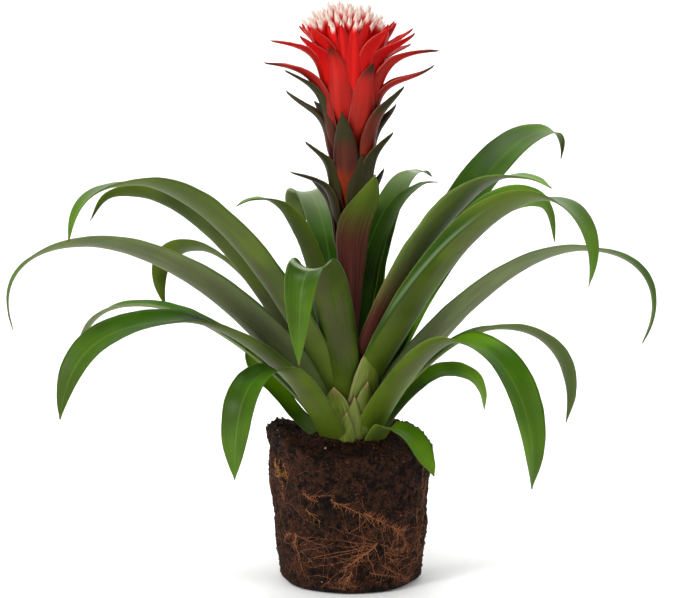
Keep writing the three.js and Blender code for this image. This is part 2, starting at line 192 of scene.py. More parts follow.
def open_rule(name, inputs):
    """Opens a tree with the inputs {name: usual value}; "Object" and "Material" stand for their kinds."""
    tree = bpy.data.node_groups.new(name, "GeometryNodeTree")
    OPENED.append(tree)
    for side in ("INPUT", "OUTPUT"):
        tree.interface.new_socket("Geometry", in_out=side, socket_type="NodeSocketGeometry")
    for label, usual in inputs.items():
        kind = KINDS.get(type(usual), usual)
        socket = tree.interface.new_socket(label, in_out="INPUT", socket_type=f"NodeSocket{kind}")
        if kind != usual:
            socket.default_value = usual
    return wires("NodeGroupInput")


def close_rule(geometry, finish):
    """Ends the open tree: its instances become real faces and get the finish."""
    whole = wire("GeometryNodeRealizeInstances", {"Geometry": geometry})
    whole = wire("GeometryNodeSetMaterial", {"Geometry": whole, "Material": finish})
    node("NodeGroupOutput", {0: whole})
    return OPENED[-1]


# %% Grow a piece from a rule
def grow(name, tree, values, mesh=None):
    """Runs the tree on an object called name and keeps the result as that object's own mesh."""
    piece = placed(name, mesh or bpy.data.meshes.new(name))
    rule = piece.modifiers.new("rule", "NODES")
    rule.node_group = tree
    for item in tree.interface.items_tree:
        if item.item_type == "SOCKET" and item.in_out == "INPUT" and item.name in values:
            rule[item.identifier] = values[item.name]
    depsgraph = bpy.context.evaluated_depsgraph_get()
    evaluated = piece.evaluated_get(depsgraph)
    kept = bpy.data.meshes.new_from_object(evaluated, preserve_all_data_layers=True, depsgraph=depsgraph)
    piece.modifiers.clear()
    piece.data = kept
    kept.name = name
    if kept.materials and kept.materials[0] is None:
        kept.materials.pop(index=0)  # the bare object's own slot, which holds nothing
    return piece


def discard(thing):
    """Removes a curve that was only there to grow a piece along it."""
    curve = thing.data
    bpy.data.objects.remove(thing)
    bpy.data.curves.remove(curve)


def dress(piece, slot, *nodes):
    """The finished piece rides on the plant and stands for the given nodes, which are hidden. The slot is not
    used.
    """
    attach(piece, "root")
    if nodes:
        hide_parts(*nodes)
    return piece


def smooth_shaded(piece):
    piece.data.shade_smooth()
    return piece


# %% Nodes that several rules share
def store(geometry, name, value, kind="FLOAT", domain="POINT"):
    values = {"Geometry": geometry, "Name": name, "Value": value}
    return wire("GeometryNodeStoreNamedAttribute", values, data_type=kind, domain=domain)


def stored(name):
    return wire("GeometryNodeInputNamedAttribute", {"Name": name}, output="Attribute", data_type="FLOAT")


def place_here():
    return wire("GeometryNodeInputPosition")


def shape_of(thing):
    """The geometry of another object, where that object has it."""
    return wire("GeometryNodeObjectInfo", {"Object": thing}, "Geometry", transform_space="ORIGINAL")


def shifted(geometry, step):
    return wire("GeometryNodeSetPosition", {"Geometry": geometry, "Offset": step})


def together(*parts):
    both = node("GeometryNodeJoinGeometry")
    for part in parts:
        feed(both.inputs[0], part)
    return Wire(both.outputs[0])


def drawn(seed, low=0.0, high=1.0):
    """A random number for each point, or a random vector where low and high are vectors."""
    if isinstance(low, tuple):
        return wire("FunctionNodeRandomValue", {0: low, 1: high, "Seed": seed}, data_type="FLOAT_VECTOR")
    return wire("FunctionNodeRandomValue", {2: low, 3: high, "Seed": seed}, output=1)


def above(value, limit):
    return wire("FunctionNodeCompare", {0: value, 1: limit}, operation="GREATER_THAN")


def planted(points, grain, turned, size, only=True):
    values = {"Points": points, "Selection": only, "Instance": grain, "Rotation": turned, "Scale": size}
    return wire("GeometryNodeInstanceOnPoints", values)


def rodded(line, radius, sides):
    """A closed rod along each curve, as thick as radius says."""
    circle = wire("GeometryNodeCurvePrimitiveCircle", {"Resolution": sides, "Radius": 1.0})
    values = {"Curve": line, "Profile Curve": circle, "Scale": radius, "Fill Caps": True}
    return wire("GeometryNodeCurveToMesh", values)


# %% [markdown]
# ## The blade rule
# Leaves, bracts and the short scales at the foot are all the same thing: a strap that follows a midrib,
# folded into a gutter, widest low down and drawn out to a point. Each could be modelled by hand, but one tree
# keeps them alike. A flat grid is laid along the midrib's curve, its cross direction is bent to an arc, and a
# second grid, a little further out, closes it underneath. Both share their margins, so the blade is thin
# there and closed all round.

# %% What a blade is told
# The frost amount greys a leaf and paints a pale sheen round its fold; the band amount paints a dark band of
# shade with a glint beside it.
BLADE_PATTERN = {"Blush": 0.0, "Pale": 0.0, "Frost": 0.0, "Lip": -1.0, "Band": 0.0}
BLADE_INPUTS = {
    "Midrib": "Object",
    "Side": (0, 1, 0),
    "Width": 0.03,
    "Base Width": 0.02,
    "Base Cup": 0.6,
    "Cup": 0.6,
    "Tip Cup": 0.35,
    "Roll Start": 0.0,
    "Roll End": 0.0,
    "Full At": 0.25,
    "Taper From": 0.56,
    "Thickness": 0.0008,
    "Ripple": 0.0006,
    "Seed": 0.0,
    **BLADE_PATTERN,
    "Rings": 90,
    "Across": 13,
    "Finish": "Material",
}
# Where things begin and end on a blade, as shares of its length.
ROLL_FROM, CUP_BY, OPENS_FROM = 0.1, 0.3, 0.35
SAG_FROM, SAG_BY, SAG_SHARE = 0.05, 0.3, 0.5
RIPPLE_FROM, RIPPLE_BY, RIPPLE_GAIN = 0.1, 0.4, 4.0
RIPPLES_ALONG, RIPPLES_ACROSS = 9.0, 0.8
TAPER_POWER, TIP_SHARE = 2.8, 0.05
EDGE_POWER, END_POWER = 4.0, 60.0
MARGIN_GAP = 1e-6


# %% Blade tree
def blade_tree():
    given = open_rule("Blade", BLADE_INPUTS)
    size = {"Size X": 1.0, "Size Y": 1.0, "Vertices X": given["Rings"], "Vertices Y": given["Across"]}
    grid = wires("GeometryNodeMeshGrid", size)
    place = split(place_here())
    sheet = store(grid["Mesh"], "along", place[0] + 0.5)
    sheet = store(sheet, "across", place[1] * 2.0)
    sheet = store(sheet, "UVMap", grid["UV Map"], "FLOAT2", "CORNER")
    for label in ("Seed", *BLADE_PATTERN):
        sheet = store(sheet, label.lower(), given[label])
    along, across = stored("along"), stored("across")

    path = {"Curves": shape_of(given["Midrib"]), "Factor": along}
    curve = wires("GeometryNodeSampleCurve", path, mode="FACTOR", use_all_curves=True)
    tangent = curve["Tangent"]
    roll = ease(along, ROLL_FROM, 1.0, given["Roll Start"], given["Roll End"])
    turned = {"Vector": given["Side"], "Axis": tangent, "Angle": roll}
    side = wire("ShaderNodeVectorRotate", turned, rotation_type="AXIS_ANGLE")
    upper = vector("CROSS_PRODUCT", tangent, side)

    taper = ease(along, given["Taper From"], 1.0, kind="LINEAR") ** TAPER_POWER
    share = calc("MAXIMUM", 1.0 - taper, TIP_SHARE)
    width = ease(along, 0.0, given["Full At"], given["Base Width"], given["Width"])
    half = width * share * 0.5
    channel = ease(along, 0.0, CUP_BY, given["Base Cup"], given["Cup"])
    opening = ease(along, OPENS_FROM, 1.0, channel, given["Tip Cup"])
    radius = half / opening
    depth = radius * (1.0 - calc("COSINE", opening))
    sag = depth * ease(along, SAG_FROM, SAG_BY, 0.0, SAG_SHARE)

    turn = opening * across
    sine, cosine = calc("SINE", turn), calc("COSINE", turn)
    swell = noise(xyz(along * RIPPLES_ALONG, across * RIPPLES_ACROSS, given["Seed"]), 1.0, 2.0)
    wave = (swell - 0.5) * (across * across)
    ripple = wave * given["Ripple"] * ease(along, RIPPLE_FROM, RIPPLE_BY, 0.0, RIPPLE_GAIN)
    rise = radius * (1.0 - cosine) - sag + ripple
    face = curve["Position"] + side * (radius * sine) + upper * rise
    outward = side * sine - upper * cosine
    edge = 1.0 - calc("ABSOLUTE", across) ** EDGE_POWER
    ends = 1.0 - calc("ABSOLUTE", along * 2.0 - 1.0) ** END_POWER
    beneath = face + outward * (given["Thickness"] * (edge * ends))

    halves = []
    for under, position in ((1.0, beneath), (0.0, face)):
        half_blade = store(sheet, "underside", under, domain="FACE")
        halves.append(wire("GeometryNodeSetPosition", {"Geometry": half_blade, "Position": position}))
    halves[0] = wire("GeometryNodeFlipFaces", {"Mesh": halves[0]})
    margins = {"Geometry": together(*halves), "Distance": MARGIN_GAP}
    return close_rule(wire("GeometryNodeMergeByDistance", margins), given["Finish"])


BLADE = blade_tree()
print("blade tree:", len(BLADE.nodes), "nodes")

# %% [markdown]
# ## Midribs
# A blade's midrib rises from the crown, arches over and hangs to its tip. Leaves that grow in still air bend
# in one upright plane, so a simulated sag would add nothing. A midrib is drawn with two Bezier bows: from the
# foot up to the top of its arch, and from there down to the tip. The handles are shares of each bow's chord.

# %% Midrib curves
HANDLE_FOOT, HANDLE_BEFORE, HANDLE_TIP = 0.36, 0.26, 0.45
MIDRIB_STEPS = 60


def polar(radius, turn, height):
    """The place in metres at a radius and height in millimetres, turned about the plant's axis."""
    return radius * math.cos(turn) * MM, radius * math.sin(turn) * MM, height * MM


def handle(degrees, length):
    return Vector((math.cos(math.radians(degrees)), math.sin(math.radians(degrees)))) * length


def midrib_points(foot, rise, tip, end, bow=None, level=0, arch=0.5):
    """[point, handle before, handle after] at the foot, the bow if there is one, and the tip."""
    foot, tip = Vector(foot), Vector(tip)
    middle = []
    low = high = (tip - foot).length
    if bow:
        bow = Vector(bow)
        low, high = (bow - foot).length, (tip - bow).length
        middle = [[bow, bow - handle(level, HANDLE_BEFORE * low), bow + handle(level, arch * high)]]
    start = [foot, foot, foot + handle(rise, HANDLE_FOOT * low)]
    return [start, *middle, [tip, tip - handle(end, HANDLE_TIP * high), tip]]


def midrib(heading, swing=0, **shape):
    """The midrib's curve; swing turns its tip away from the plane of its foot."""
    curve = bpy.data.curves.new("midrib", "CURVE")
    curve.dimensions = "3D"
    curve.resolution_u = MIDRIB_STEPS
    spline = curve.splines.new("BEZIER")
    knots = midrib_points(**shape)
    spline.bezier_points.add(len(knots) - 1)
    for number, (knot, points) in enumerate(zip(spline.bezier_points, knots), 1):
        turn = math.radians(heading + (swing if number == len(knots) else 0))
        knot.handle_left_type = knot.handle_right_type = "FREE"
        knot.co, knot.handle_left, knot.handle_right = [polar(out, turn, up) for out, up in points]
    return placed("midrib", curve)


# %% One blade
def blade(name, finish, heading, width, base_width, cups, looks, roll=(0, 0), **shape):
    """One blade along its midrib. Widths are in millimetres, cups and rolls in degrees."""
    path = midrib(heading, **shape)
    turn = math.radians(heading)
    angles = dict(zip(("Base Cup", "Cup", "Tip Cup", "Roll Start", "Roll End"), (*cups, *roll)))
    values = {
        "Midrib": path,
        "Side": (-math.sin(turn), math.cos(turn), 0.0),
        "Width": width * MM,
        "Base Width": base_width * MM,
        "Finish": finish,
        **{label: math.radians(angle) for label, angle in angles.items()},
        **looks,
    }
    piece = grow(name, BLADE, values)
    discard(path)
    return smooth_shaded(piece)


print("a plain midrib has", len(midrib_points((0, 0), 80, (50, 90), -60)), "knots")

# %% [markdown]
# ## Leaf finish
# A leaf is satin bright green above, with fine lines along it, a paler midrib and pale margins. Its lower
# side is duller, olive with a purple-grey scurf. Near the foot it turns yellow-green, some leaves are frosted
# grey below, which also lightens those in shade, and some inner ones are flushed with purple. Where a leaf
# folds over, a painted highlight runs along the fold with a painted pale sheen round it, and one leaf at the
# front has a painted dark band of shade with a painted glint beside it. A pattern laid over the plant from
# outside would smear along the arches. The blade rule stored how far along and across each point lies, so
# this pattern follows every bend.


# %% Material helpers
def paint(code):
    """A screen colour such as "c8141c" as the linear colour that a shader takes."""
    parts = [int(code[i : i + 2], 16) / 255 for i in (0, 2, 4)]
    return (*[p / 12.92 if p <= 0.04045 else ((p + 0.055) / 1.055) ** 2.4 for p in parts], 1.0)


def material(name):
    """A new material, whose node tree is opened."""
    finish = bpy.data.materials.new(name)
    finish.use_nodes = True
    OPENED.append(finish.node_tree)
    return finish


def surfaced(finish, colour, roughness, shine=0.5, relief=None):
    """Gives the material's shader its colour, roughness, shine and fine relief."""
    shader = finish.node_tree.nodes["Principled BSDF"].inputs
    feed(shader["Base Color"], colour)
    feed(shader["Roughness"], roughness)
    feed(shader["Specular IOR Level"], shine)
    if relief:
        feed(shader["Normal"], relief)
    print("finish", finish.name, "has", len(finish.node_tree.nodes), "nodes")
    return finish


def attributes(*names):
    return [wire("ShaderNodeAttribute", output="Fac", attribute_name=name) for name in names]


def object_place():
    return wire("ShaderNodeTexCoord", output="Object")


def blend(amount, first, second):
    """first turned into second by the amount; each is a wire or the code of a screen colour."""
    first, second = [paint(colour) if isinstance(colour, str) else colour for colour in (first, second)]
    return wire("ShaderNodeMix", {0: amount, 6: first, 7: second}, output=2, data_type="RGBA")


def bump(height, strength, distance):
    return wire("ShaderNodeBump", {"Height": height, "Strength": strength, "Distance": distance})


print("leaf green is", [round(part, 3) for part in paint("315507")])


# %% Leaf material
TONE_LOW, TONE_HIGH = 0.38, 0.62
LEAF_SHINE = 0.05


def leaf_material():
    finish = material("leaf")
    along, across, under, seed = attributes("along", "across", "underside", "seed")
    blush, pale, frost, lip, band = attributes("blush", "pale", "frost", "lip", "band")
    away = calc("ABSOLUTE", across)
    lines = noise(xyz(along * 3.0, across * 22.0, seed), 1.0, 3.0, 0.5)
    clouds = noise(object_place() + xyz(0.0, 0.0, seed), 22.0, 2.0)
    tone = ease(lines * 0.25 + clouds * 0.75, TONE_LOW, TONE_HIGH)

    # the upper face: two greens, pale midrib, bleached tip and a painted pale sheen round the fold
    bright = blend(tone, "385e06", "57800a")
    # how pale each leaf is comes from its row; on leaves that sit in shade it also lightens both faces, as
    # painted light
    green = blend(pale, blend(tone, "1c3504", "315507"), bright)
    middle = 1.0 - ease(away, 0.0, 0.1)
    green = blend(middle * 0.12, green, "7f9c46")
    green = blend(ease(along, 0.6, 0.95, 0.0, 0.12), green, "8a9c4c")
    from_lip = calc("ABSOLUTE", along - lip)
    green = blend(frost * ease(from_lip, 0.3, 0.05), green, "7d8b66")

    # the lower face: olive with scurf in a long belt away from the margins
    olive = blend(tone, "32420f", "4d5e1b")
    olive = blend(pale * 0.7, olive, "58701c")
    # the frost also greys the lower face, and on leaves that sit in shade it lightens them, as painted light
    olive = blend(frost * 0.6, olive, "84906a")
    scurf = noise(xyz(along * 5.0, across * 2.0, seed), 1.0, 4.0, 0.6)
    belt = ease(along, 0.12, 0.3) * ease(along, 0.85, 0.5)
    dusty = ease(away, 0.95, 0.45) * ease(scurf, 0.38, 0.6) * belt
    olive = blend(dusty * 0.45, olive, "50463b")
    colour = blend(under, green, olive)

    # both faces: yellow foot and purple flush
    colour = blend(ease(along, 0.26, 0.04) * 0.5, colour, "586a16")
    purple = blend(ease(lines, 0.3, 0.7), "3d1f1a", "63342c")
    wander = (lines - 0.5) * 0.14
    colour = blend(ease(along + wander, blush, blush - 0.26), colour, purple)

    # painted shade: a dark band between the margin and a line that leans inwards, with a painted glint beside
    # it
    band = band * (ease(along, 0.12, 0.22) * ease(along, 0.66, 0.5))
    inside = across - ease(along, 0.14, 0.56, -0.9, -0.42, kind="LINEAR")
    colour = blend(band * ease(inside, 0.04, -0.03), colour, "2c4610")
    glint = ease(inside, -0.02, -0.12) * ease(inside, -0.26, -0.12)
    colour = blend(band * glint * ease(along, 0.22, 0.38, 0.05, 0.4), colour, "93a67e")

    # margins, a painted highlight along the fold and the dry tip
    colour = blend(ease(away, 0.93, 0.995) * 0.35, colour, "8f9e5c")
    colour = blend(ease(from_lip, 0.03, 0.006) * 0.6, colour, "a3b08e")
    colour = blend(ease(along, 0.985, 0.998), colour, "6a5e30")
    gloss = under * 0.1 + ease(clouds, 0.3, 0.7, 0.3, 0.4)
    return surfaced(finish, colour, gloss, LEAF_SHINE, bump(lines, 0.22, 0.0005))


LEAF_FINISH = leaf_material()

# %% [markdown]
# ## The rosette's leaves
# The leaves stand on the crown's cone, the lowest and outermost first, each wrapping it with its sheath. A
# scattered rosette would be quicker, but this one has to match a real plant leaf by leaf, so it is a table.
# Each row gives the heading in plan, the width, the angle at the foot, the top of the arch as [out, up], the
# tip, the angle there, and then what is special to that leaf: its roll from foot to tip, how much of its
# length it keeps its width, its cups, a foot of its own, a swing of its tip, or a part of the pattern.
# Lengths are millimetres, and angles are degrees.

# %% Leaf table
LEAVES = [
    (-50, 23, 58, (44, 122), (93, 92), -50, dict(pale=0.9)),
    (172, 16, 24, (53, 138), (76, 180), 96,
     dict(roll=(-32, -44), foot=(22, 108), level=50, pale=1.0, frost=0.8, lip=-0.02)),
    (98, 24, 55, (72, 143), (128, 104), -68),
    (-120, 27, 56, (112, 175), (160, 104), -93, dict(taper=0.7, pale=0.1)),
    (25, 18, 58, (79, 151), (113, 118), -92, dict(roll=(0, 50), taper=0.76, pale=0.8)),
    (-42, 37, 68, (106, 192), (170, 92), -98, dict(taper=0.66, arch=0.38, pale=0.6)),
    (77, 24, 62, (104, 179), (165, 116), -75),
    (168, 25, 60, (158, 202), (216, 150), -74, dict(frost=0.7)),
    (15, 23, 66, (114, 185), (170, 109), -106, dict(roll=(0, -22), pale=0.3, frost=0.3)),
    (-150, 31, 64, (146, 207), (233, 142), -84, dict(roll=(10, -26), taper=0.66)),
    (111, 24, 66, (106, 204), (152, 156), -78),
    (-22, 28, 64, (179, 256), (221, 190), -120, dict(roll=(-40, 0), taper=0.42, arch=0.64, frost=0.8)),
    (-155, 32, 67, (206, 262), (258, 203), -112, dict(roll=(40, 15), taper=0.34, arch=0.6, frost=0.6)),
    (150, 26, 66, (136, 241), (164, 193), -116, dict(roll=(0, 35), arch=0.62)),
    (20, 30, 66, (139, 281), (165, 245), -82, dict(roll=(0, 45), pale=0.5)),
    (-106, 37, 76, (98, 248), (131, 181), -88, dict(cup=66, tip_cup=34, taper=0.36, pale=0.1, lip=0.67)),
    (84, 27, 66, (124, 238), (188, 152), -80),
    (-168, 25, 65, (162, 293), (191, 272), -64, dict(roll=(30, 35))),
    (-135, 34, 68, (208, 310), (263, 274), -84, dict(roll=(0, 11), taper=0.58, pale=0.3, frost=0.15)),
    (-48, 40, 66, (194, 300), (235, 242), -112, dict(roll=(0, -14), pale=0.3, band=1.0)),
    (40, 40, 57, (202, 326), (217, 302), -112, dict(roll=(0, 16), pale=0.1)),
    (97, 26, 72, (98, 266), (160, 202), -80),
    (-50, 35, 74, (172, 313), (208, 307), -22, dict(wrap=3.0, blush=0.5, pale=0.6, frost=0.2)),
    (112, 30, 78, (88, 283), (100, 238), -104, dict(arch=0.7, frost=0.4, lip=0.78)),
    (-140, 26, 80, (84, 290), (107, 285), -26, dict(taper=0.45, pale=0.4)),
    (52, 26, 80, (82, 299), (102, 293), -34, dict(pale=0.2, frost=0.3, lip=0.9)),
    (30, 24, 86, (52, 288), (76, 293), -8, dict(level=30, taper=0.45, blush=0.2)),
    (-87, 30, 88, (15, 246), (48, 306), 62,
     dict(swing=18, wrap=1.2, full=0.85, cup=64, tip_cup=40, level=76, taper=0.62, blush=0.9)),
]
print("leaves:", len(LEAVES))

# %% Grow the leaves
CROWN_LOW, CROWN_HIGH = (24, 96), (6.6, 136)
SHEATH_WRAP = 2.1
LEAF_CUP, LEAF_TIP_CUP = 36, 20
LEAF_RIPPLE, LEAF_TAPER, LEAF_FULL_AT = 0.0008, 0.56, 0.25
LEAF_SEED_STEP = 3.7


def between(low, high, share):
    return low + (high - low) * share


leaves = []
for number, (heading, width, rise, bow, tip, end, *special) in enumerate(LEAVES):
    leaf = dict(*special)
    share = number / (len(LEAVES) - 1)
    radius, height = (between(low, high, share) for low, high in zip(CROWN_LOW, CROWN_HIGH))
    base_width = min(width, leaf.get("wrap", SHEATH_WRAP) * radius)
    base_cup = math.degrees(base_width / 2 / radius)
    cups = (base_cup, leaf.get("cup", LEAF_CUP), leaf.get("tip_cup", LEAF_TIP_CUP))
    looks = {label: leaf.get(label.lower(), usual) for label, usual in BLADE_PATTERN.items()}
    looks["Ripple"] = LEAF_RIPPLE
    looks["Seed"] = LEAF_SEED_STEP * number
    looks["Full At"] = leaf.get("full", LEAF_FULL_AT)
    looks["Taper From"] = leaf.get("taper", LEAF_TAPER)
    shape = {key: leaf[key] for key in ("roll", "swing", "level", "arch") if key in leaf}
    shape |= dict(foot=leaf.get("foot", (radius, height)), rise=rise, bow=bow, tip=tip, end=end)
    name = f"leaf_blade_{number + 1:02d}"
    piece = blade(name, LEAF_FINISH, heading, width, base_width, cups, looks, **shape)
    leaves.append(dress(piece, "leaf", f"leaf_{number + 1:02d}"))
print("a leaf has", len(leaves[0].data.polygons), "faces")

# %% [markdown]
# ## The short scales at the foot
# Three short old leaves are pressed against the front of the rosette's foot, and the edges of two sheaths
# show beside them. They are yellow-green, with pale margins and dry pink-brown tips. They could be cut from
# the leaves, but the blade rule makes them just as well, with the bow left out.


# %% Scale material
def scale_material():
    finish = material("foot scale")
    along, across, seed = attributes("along", "across", "seed")
    lines = noise(xyz(along * 4.0, across * 18.0, seed), 1.0, 4.0)
    colour = blend(ease(lines, 0.35, 0.65), "4c5c10", "7a8826")
    colour = blend(ease(along, 0.42, 0.15), colour, "2f4112")
    margin = ease(calc("ABSOLUTE", across), 0.78, 0.98)
    colour = blend(margin * 0.7, colour, "a39a68")
    dry = along + (lines - 0.5) * 0.5
    colour = blend(ease(dry, 0.9, 0.98), colour, "a07c58")
    return surfaced(finish, colour, 0.5, relief=bump(lines, 0.4, 0.0005))


# %% Grow the scales
# Each row is [heading, width, foot, angle at the foot, tip, angle there].
SCALES = [
    (-69, 20, (25.1, 98), 84, (35, 154), 60),
    (-85, 14, (26.2, 97), 86, (33, 143), 72),
    (-95, 13, (27.3, 96), 86, (35, 132), 70),
]
SHEATHS = [
    (-114, 32, (22, 102), 72, (30, 149), 66),
    (-67, 24, (18, 124), 68, (36, 181), 78),
]
SCALE_FINISH = scale_material()
SCALE_CUPS = (22, 22, 14)
SCALE_LOOKS = {"Taper From": 0.1, "Rings": 36, "Ripple": 0.0004}

# What is grown from each table: its name, its rows, its first seed and the nodes it stands for.
SCALE_KINDS = [("foot_scale", SCALES, 51, ["base_scale"]), ("sheath_edge", SHEATHS, 61, [])]

for kind, rows, first_seed, nodes in SCALE_KINDS:
    for number, (heading, width, foot, rise, tip, end) in enumerate(rows):
        looks = SCALE_LOOKS | {"Seed": float(first_seed + number)}
        shape = dict(foot=foot, rise=rise, tip=tip, end=end)
        piece = blade(f"{kind}_{number + 1}", SCALE_FINISH, heading, width, width, SCALE_CUPS, looks, **shape)
        dress(piece, "sheath", *[f"{stem}_{number + 1}" for stem in nodes])
print("scales:", len(SCALES), "sheath edges:", len(SHEATHS))

# %% [markdown]
# ## The root ball
# The soil kept the shape of the pot it grew in: a cone a little wider at the top, with a rounded foot. Its
# rim is heaped up at the left and at the back and worn round at the right, and the soil is banked up against
# the crown. It could be sculpted, but a skin of rings keeps the pot's true measures. A tree then pushes the
# skin in and out by layered noise, so that it crumbles like peat, and keeps the foot flat, so that it still
# stands. A second tree scatters crumbs on it.


# %% Closed skins of rings
def ring_mesh(name, rings, bottom, top):
    """A closed skin over rings of places, from the lowest to the highest, with a point at each end."""
    around = len(rings[0])
    points = [place for ring in rings for place in ring]
    points += [(0, 0, bottom), (0, 0, top)]
    faces = []
    for low in range(0, (len(rings) - 1) * around, around):
        for k in range(around):
            after = (k + 1) % around
            faces.append((low + k, low + after, low + around + after, low + around + k))
    last = (len(rings) - 1) * around
    for k in range(around):
        after = (k + 1) % around
        faces += [(after, k, len(points) - 2), (last + k, last + after, len(points) - 1)]
    mesh = bpy.data.meshes.new(name)
    mesh.from_pydata(points, [], faces)
    return mesh


# %% Ball side and top
BALL_FOOT, BALL_TOP, BALL_HEIGHT = 52, 61.5, 102
LEFT_HEAP, BACK_HEAP, CROWN_MOUND = 12.5, 8, 8
RIM_ROUND, RIM_DEPTH = 2.6, 12
# How far to a side a heap or a rounding starts and is full, and how far from the middle.
RIGHT_SIDE, LEFT_SIDE, BACK_SIDE = (0.2, 0.9), (0.3, 0.95), (0.1, 0.7)
HEAP_PART, MOUND_PART, LUMPY_PART = (0.6, 0.97), (0.42, 0.95), (0.1, 0.5)
# The soft lumps all round: [size, how many go round, how they lean with the height, where they start].
LUMPS = [(1, 3, 1, 0), (0.7, 5, -1.7, 1), (0.5, 8, 2.3, 2)]
RELIEF, LUMP_ROW, TOP_LUMP_ROWS, TOP_LUMP_TURN = 0.7, 14, 5, 2


def smooth(value, low, high):
    share = min(1.0, max(0.0, (value - low) / (high - low)))
    return share * share * (3 - 2 * share)


def lumps(angle, row):
    return sum(size * math.sin(count * angle + lean * row + start) for size, count, lean, start in LUMPS)


def ball_radius(angle, height):
    """Radius of the ball's side in millimetres; the rim rounds in at the right."""
    rounding = RIM_ROUND * smooth(math.cos(angle), *RIGHT_SIDE)
    rounding *= smooth(height, BALL_HEIGHT - RIM_DEPTH, BALL_HEIGHT)
    plain = between(BALL_FOOT, BALL_TOP, height / BALL_HEIGHT)
    return plain + RELIEF * lumps(angle, height / LUMP_ROW) - rounding


def soil_height(angle, share):
    """Height of the soil's top, share of the way from the middle to the rim."""
    left = LEFT_HEAP * smooth(-math.cos(angle), *LEFT_SIDE)
    around = max(left, BACK_HEAP * smooth(math.sin(angle), *BACK_SIDE))
    heap = around * smooth(share, *HEAP_PART)
    mound = CROWN_MOUND * (1 - smooth(share, *MOUND_PART))
    uneven = RELIEF * lumps(angle + TOP_LUMP_TURN, TOP_LUMP_ROWS * share) * smooth(share, *LUMPY_PART)
    return BALL_HEIGHT + heap + mound + uneven


print("the ball's rim is", round(soil_height(math.pi, 1), 1), "mm high at the left")

# %% Ball rings
BALL_AROUND, SIDE_ROWS, TOP_ROWS = 400, 96, 44
EDGE_ROUND, EDGE_STEPS = 5, 6
FOOT_INSETS = (45, 38, 31, 24, 17, 11)
RIM_DROP, RIM_SHARE, MIDDLE_SHARE = 1, 0.99, 0.02


def ball_rings():
    """Each ring as a function of the angle that gives [radius, height]."""
    for inset in FOOT_INSETS:
        yield lambda a, inset=inset: (ball_radius(a, 0) - inset, 0)
    for k in range(EDGE_STEPS + 1):
        turn = k / EDGE_STEPS * math.pi / 2
        inset, up = EDGE_ROUND * (1 - math.sin(turn)), EDGE_ROUND * (1 - math.cos(turn))
        yield lambda a, inset=inset, up=up: (ball_radius(a, up) - inset, up)
    for row in range(1, SIDE_ROWS + 1):
        share = row / SIDE_ROWS

        def side(a, share=share):
            height = between(EDGE_ROUND, soil_height(a, 1) - RIM_DROP, share)
            return ball_radius(a, height), height

        yield side
    for row in range(TOP_ROWS):
        share = between(RIM_SHARE, MIDDLE_SHARE, row / (TOP_ROWS - 1))
        yield lambda a, share=share: (ball_radius(a, BALL_HEIGHT) * share, soil_height(a, share))


def ball_mesh():
    rings = []
    for ring in ball_rings():
        turns = [math.tau * k / BALL_AROUND for k in range(BALL_AROUND)]
        places = [(ring(turn), turn) for turn in turns]
        rings.append([polar(radius, turn, height) for (radius, height), turn in places])
    print("rings in the ball's skin:", len(rings))
    return ring_mesh("soil", rings, 0, rings[-1][-1][2])


# %% Soil trees
# Each layer of crumbs is [how fine, how strong].
SOIL_LAYERS = [(85.0, 1.1), (230.0, 1.3), (640.0, 0.8)]
SOIL_RELIEF, STILL_BELOW, LOOSE_ABOVE = 0.0030, 0.0002, 0.006
CRUMBS = {
    "Density": 120000.0,
    "Smallest": 0.0003,
    "Largest": 0.0017,
    "Seed": 4,
    "Finish": "Material",
}
CRUMBS_ABOVE, FEW_LARGE = 0.003, 3.0
PRESSED_BELOW, LOOSE_FROM, PRESSED = 0.085, 0.1, 0.7
FLATTEST, FULLEST, ANY_TURN = (0.6, 0.6, 0.5), (1.3, 1.0, 0.8), (6.3, 6.3, 6.3)


def soil_tree():
    given = open_rule("Crumbling soil", {"Relief": SOIL_RELIEF, "Finish": "Material"})
    here = place_here()
    layers = [(noise(here, scale, 2.0) - 0.5) * weight for scale, weight in SOIL_LAYERS]
    total = layers[0] + layers[1] + layers[2]
    push = total * given["Relief"] * ease(split(here)[2], STILL_BELOW, LOOSE_ABOVE)
    # the relief is kept for the soil's finish, which paints light on the lumps and shade in the pits
    skin = store(given["Geometry"], "hollow", total)
    return close_rule(shifted(skin, wire("GeometryNodeInputNormal") * push), given["Finish"])


def crumb_tree():
    """Crumbs lie on the skin. Those on the side are smaller, because the pot's wall pressed them."""
    given = open_rule("Crumbs on soil", CRUMBS)
    height = split(place_here())[2]
    scatter = {"Mesh": given["Geometry"], "Selection": above(height, CRUMBS_ABOVE)}
    scatter |= {label: given[label] for label in ("Density", "Seed")}
    spots = wire("GeometryNodeDistributePointsOnFaces", scatter)
    size = ease(drawn(11) ** FEW_LARGE, 0.0, 1.0, given["Smallest"], given["Largest"], kind="LINEAR")
    size = size * ease(height, PRESSED_BELOW, LOOSE_FROM, PRESSED, 1.0)
    shape, spin = drawn(12, FLATTEST, FULLEST), drawn(13, (0, 0, 0), ANY_TURN)
    turned = wire("FunctionNodeEulerToRotation", {0: spin})
    grain = wire("GeometryNodeMeshIcoSphere", {"Radius": 1.0, "Subdivisions": 1})
    grains = planted(spots, grain, turned, shape * size)
    return close_rule(store(grains, "tone", drawn(14), domain="INSTANCE"), given["Finish"])


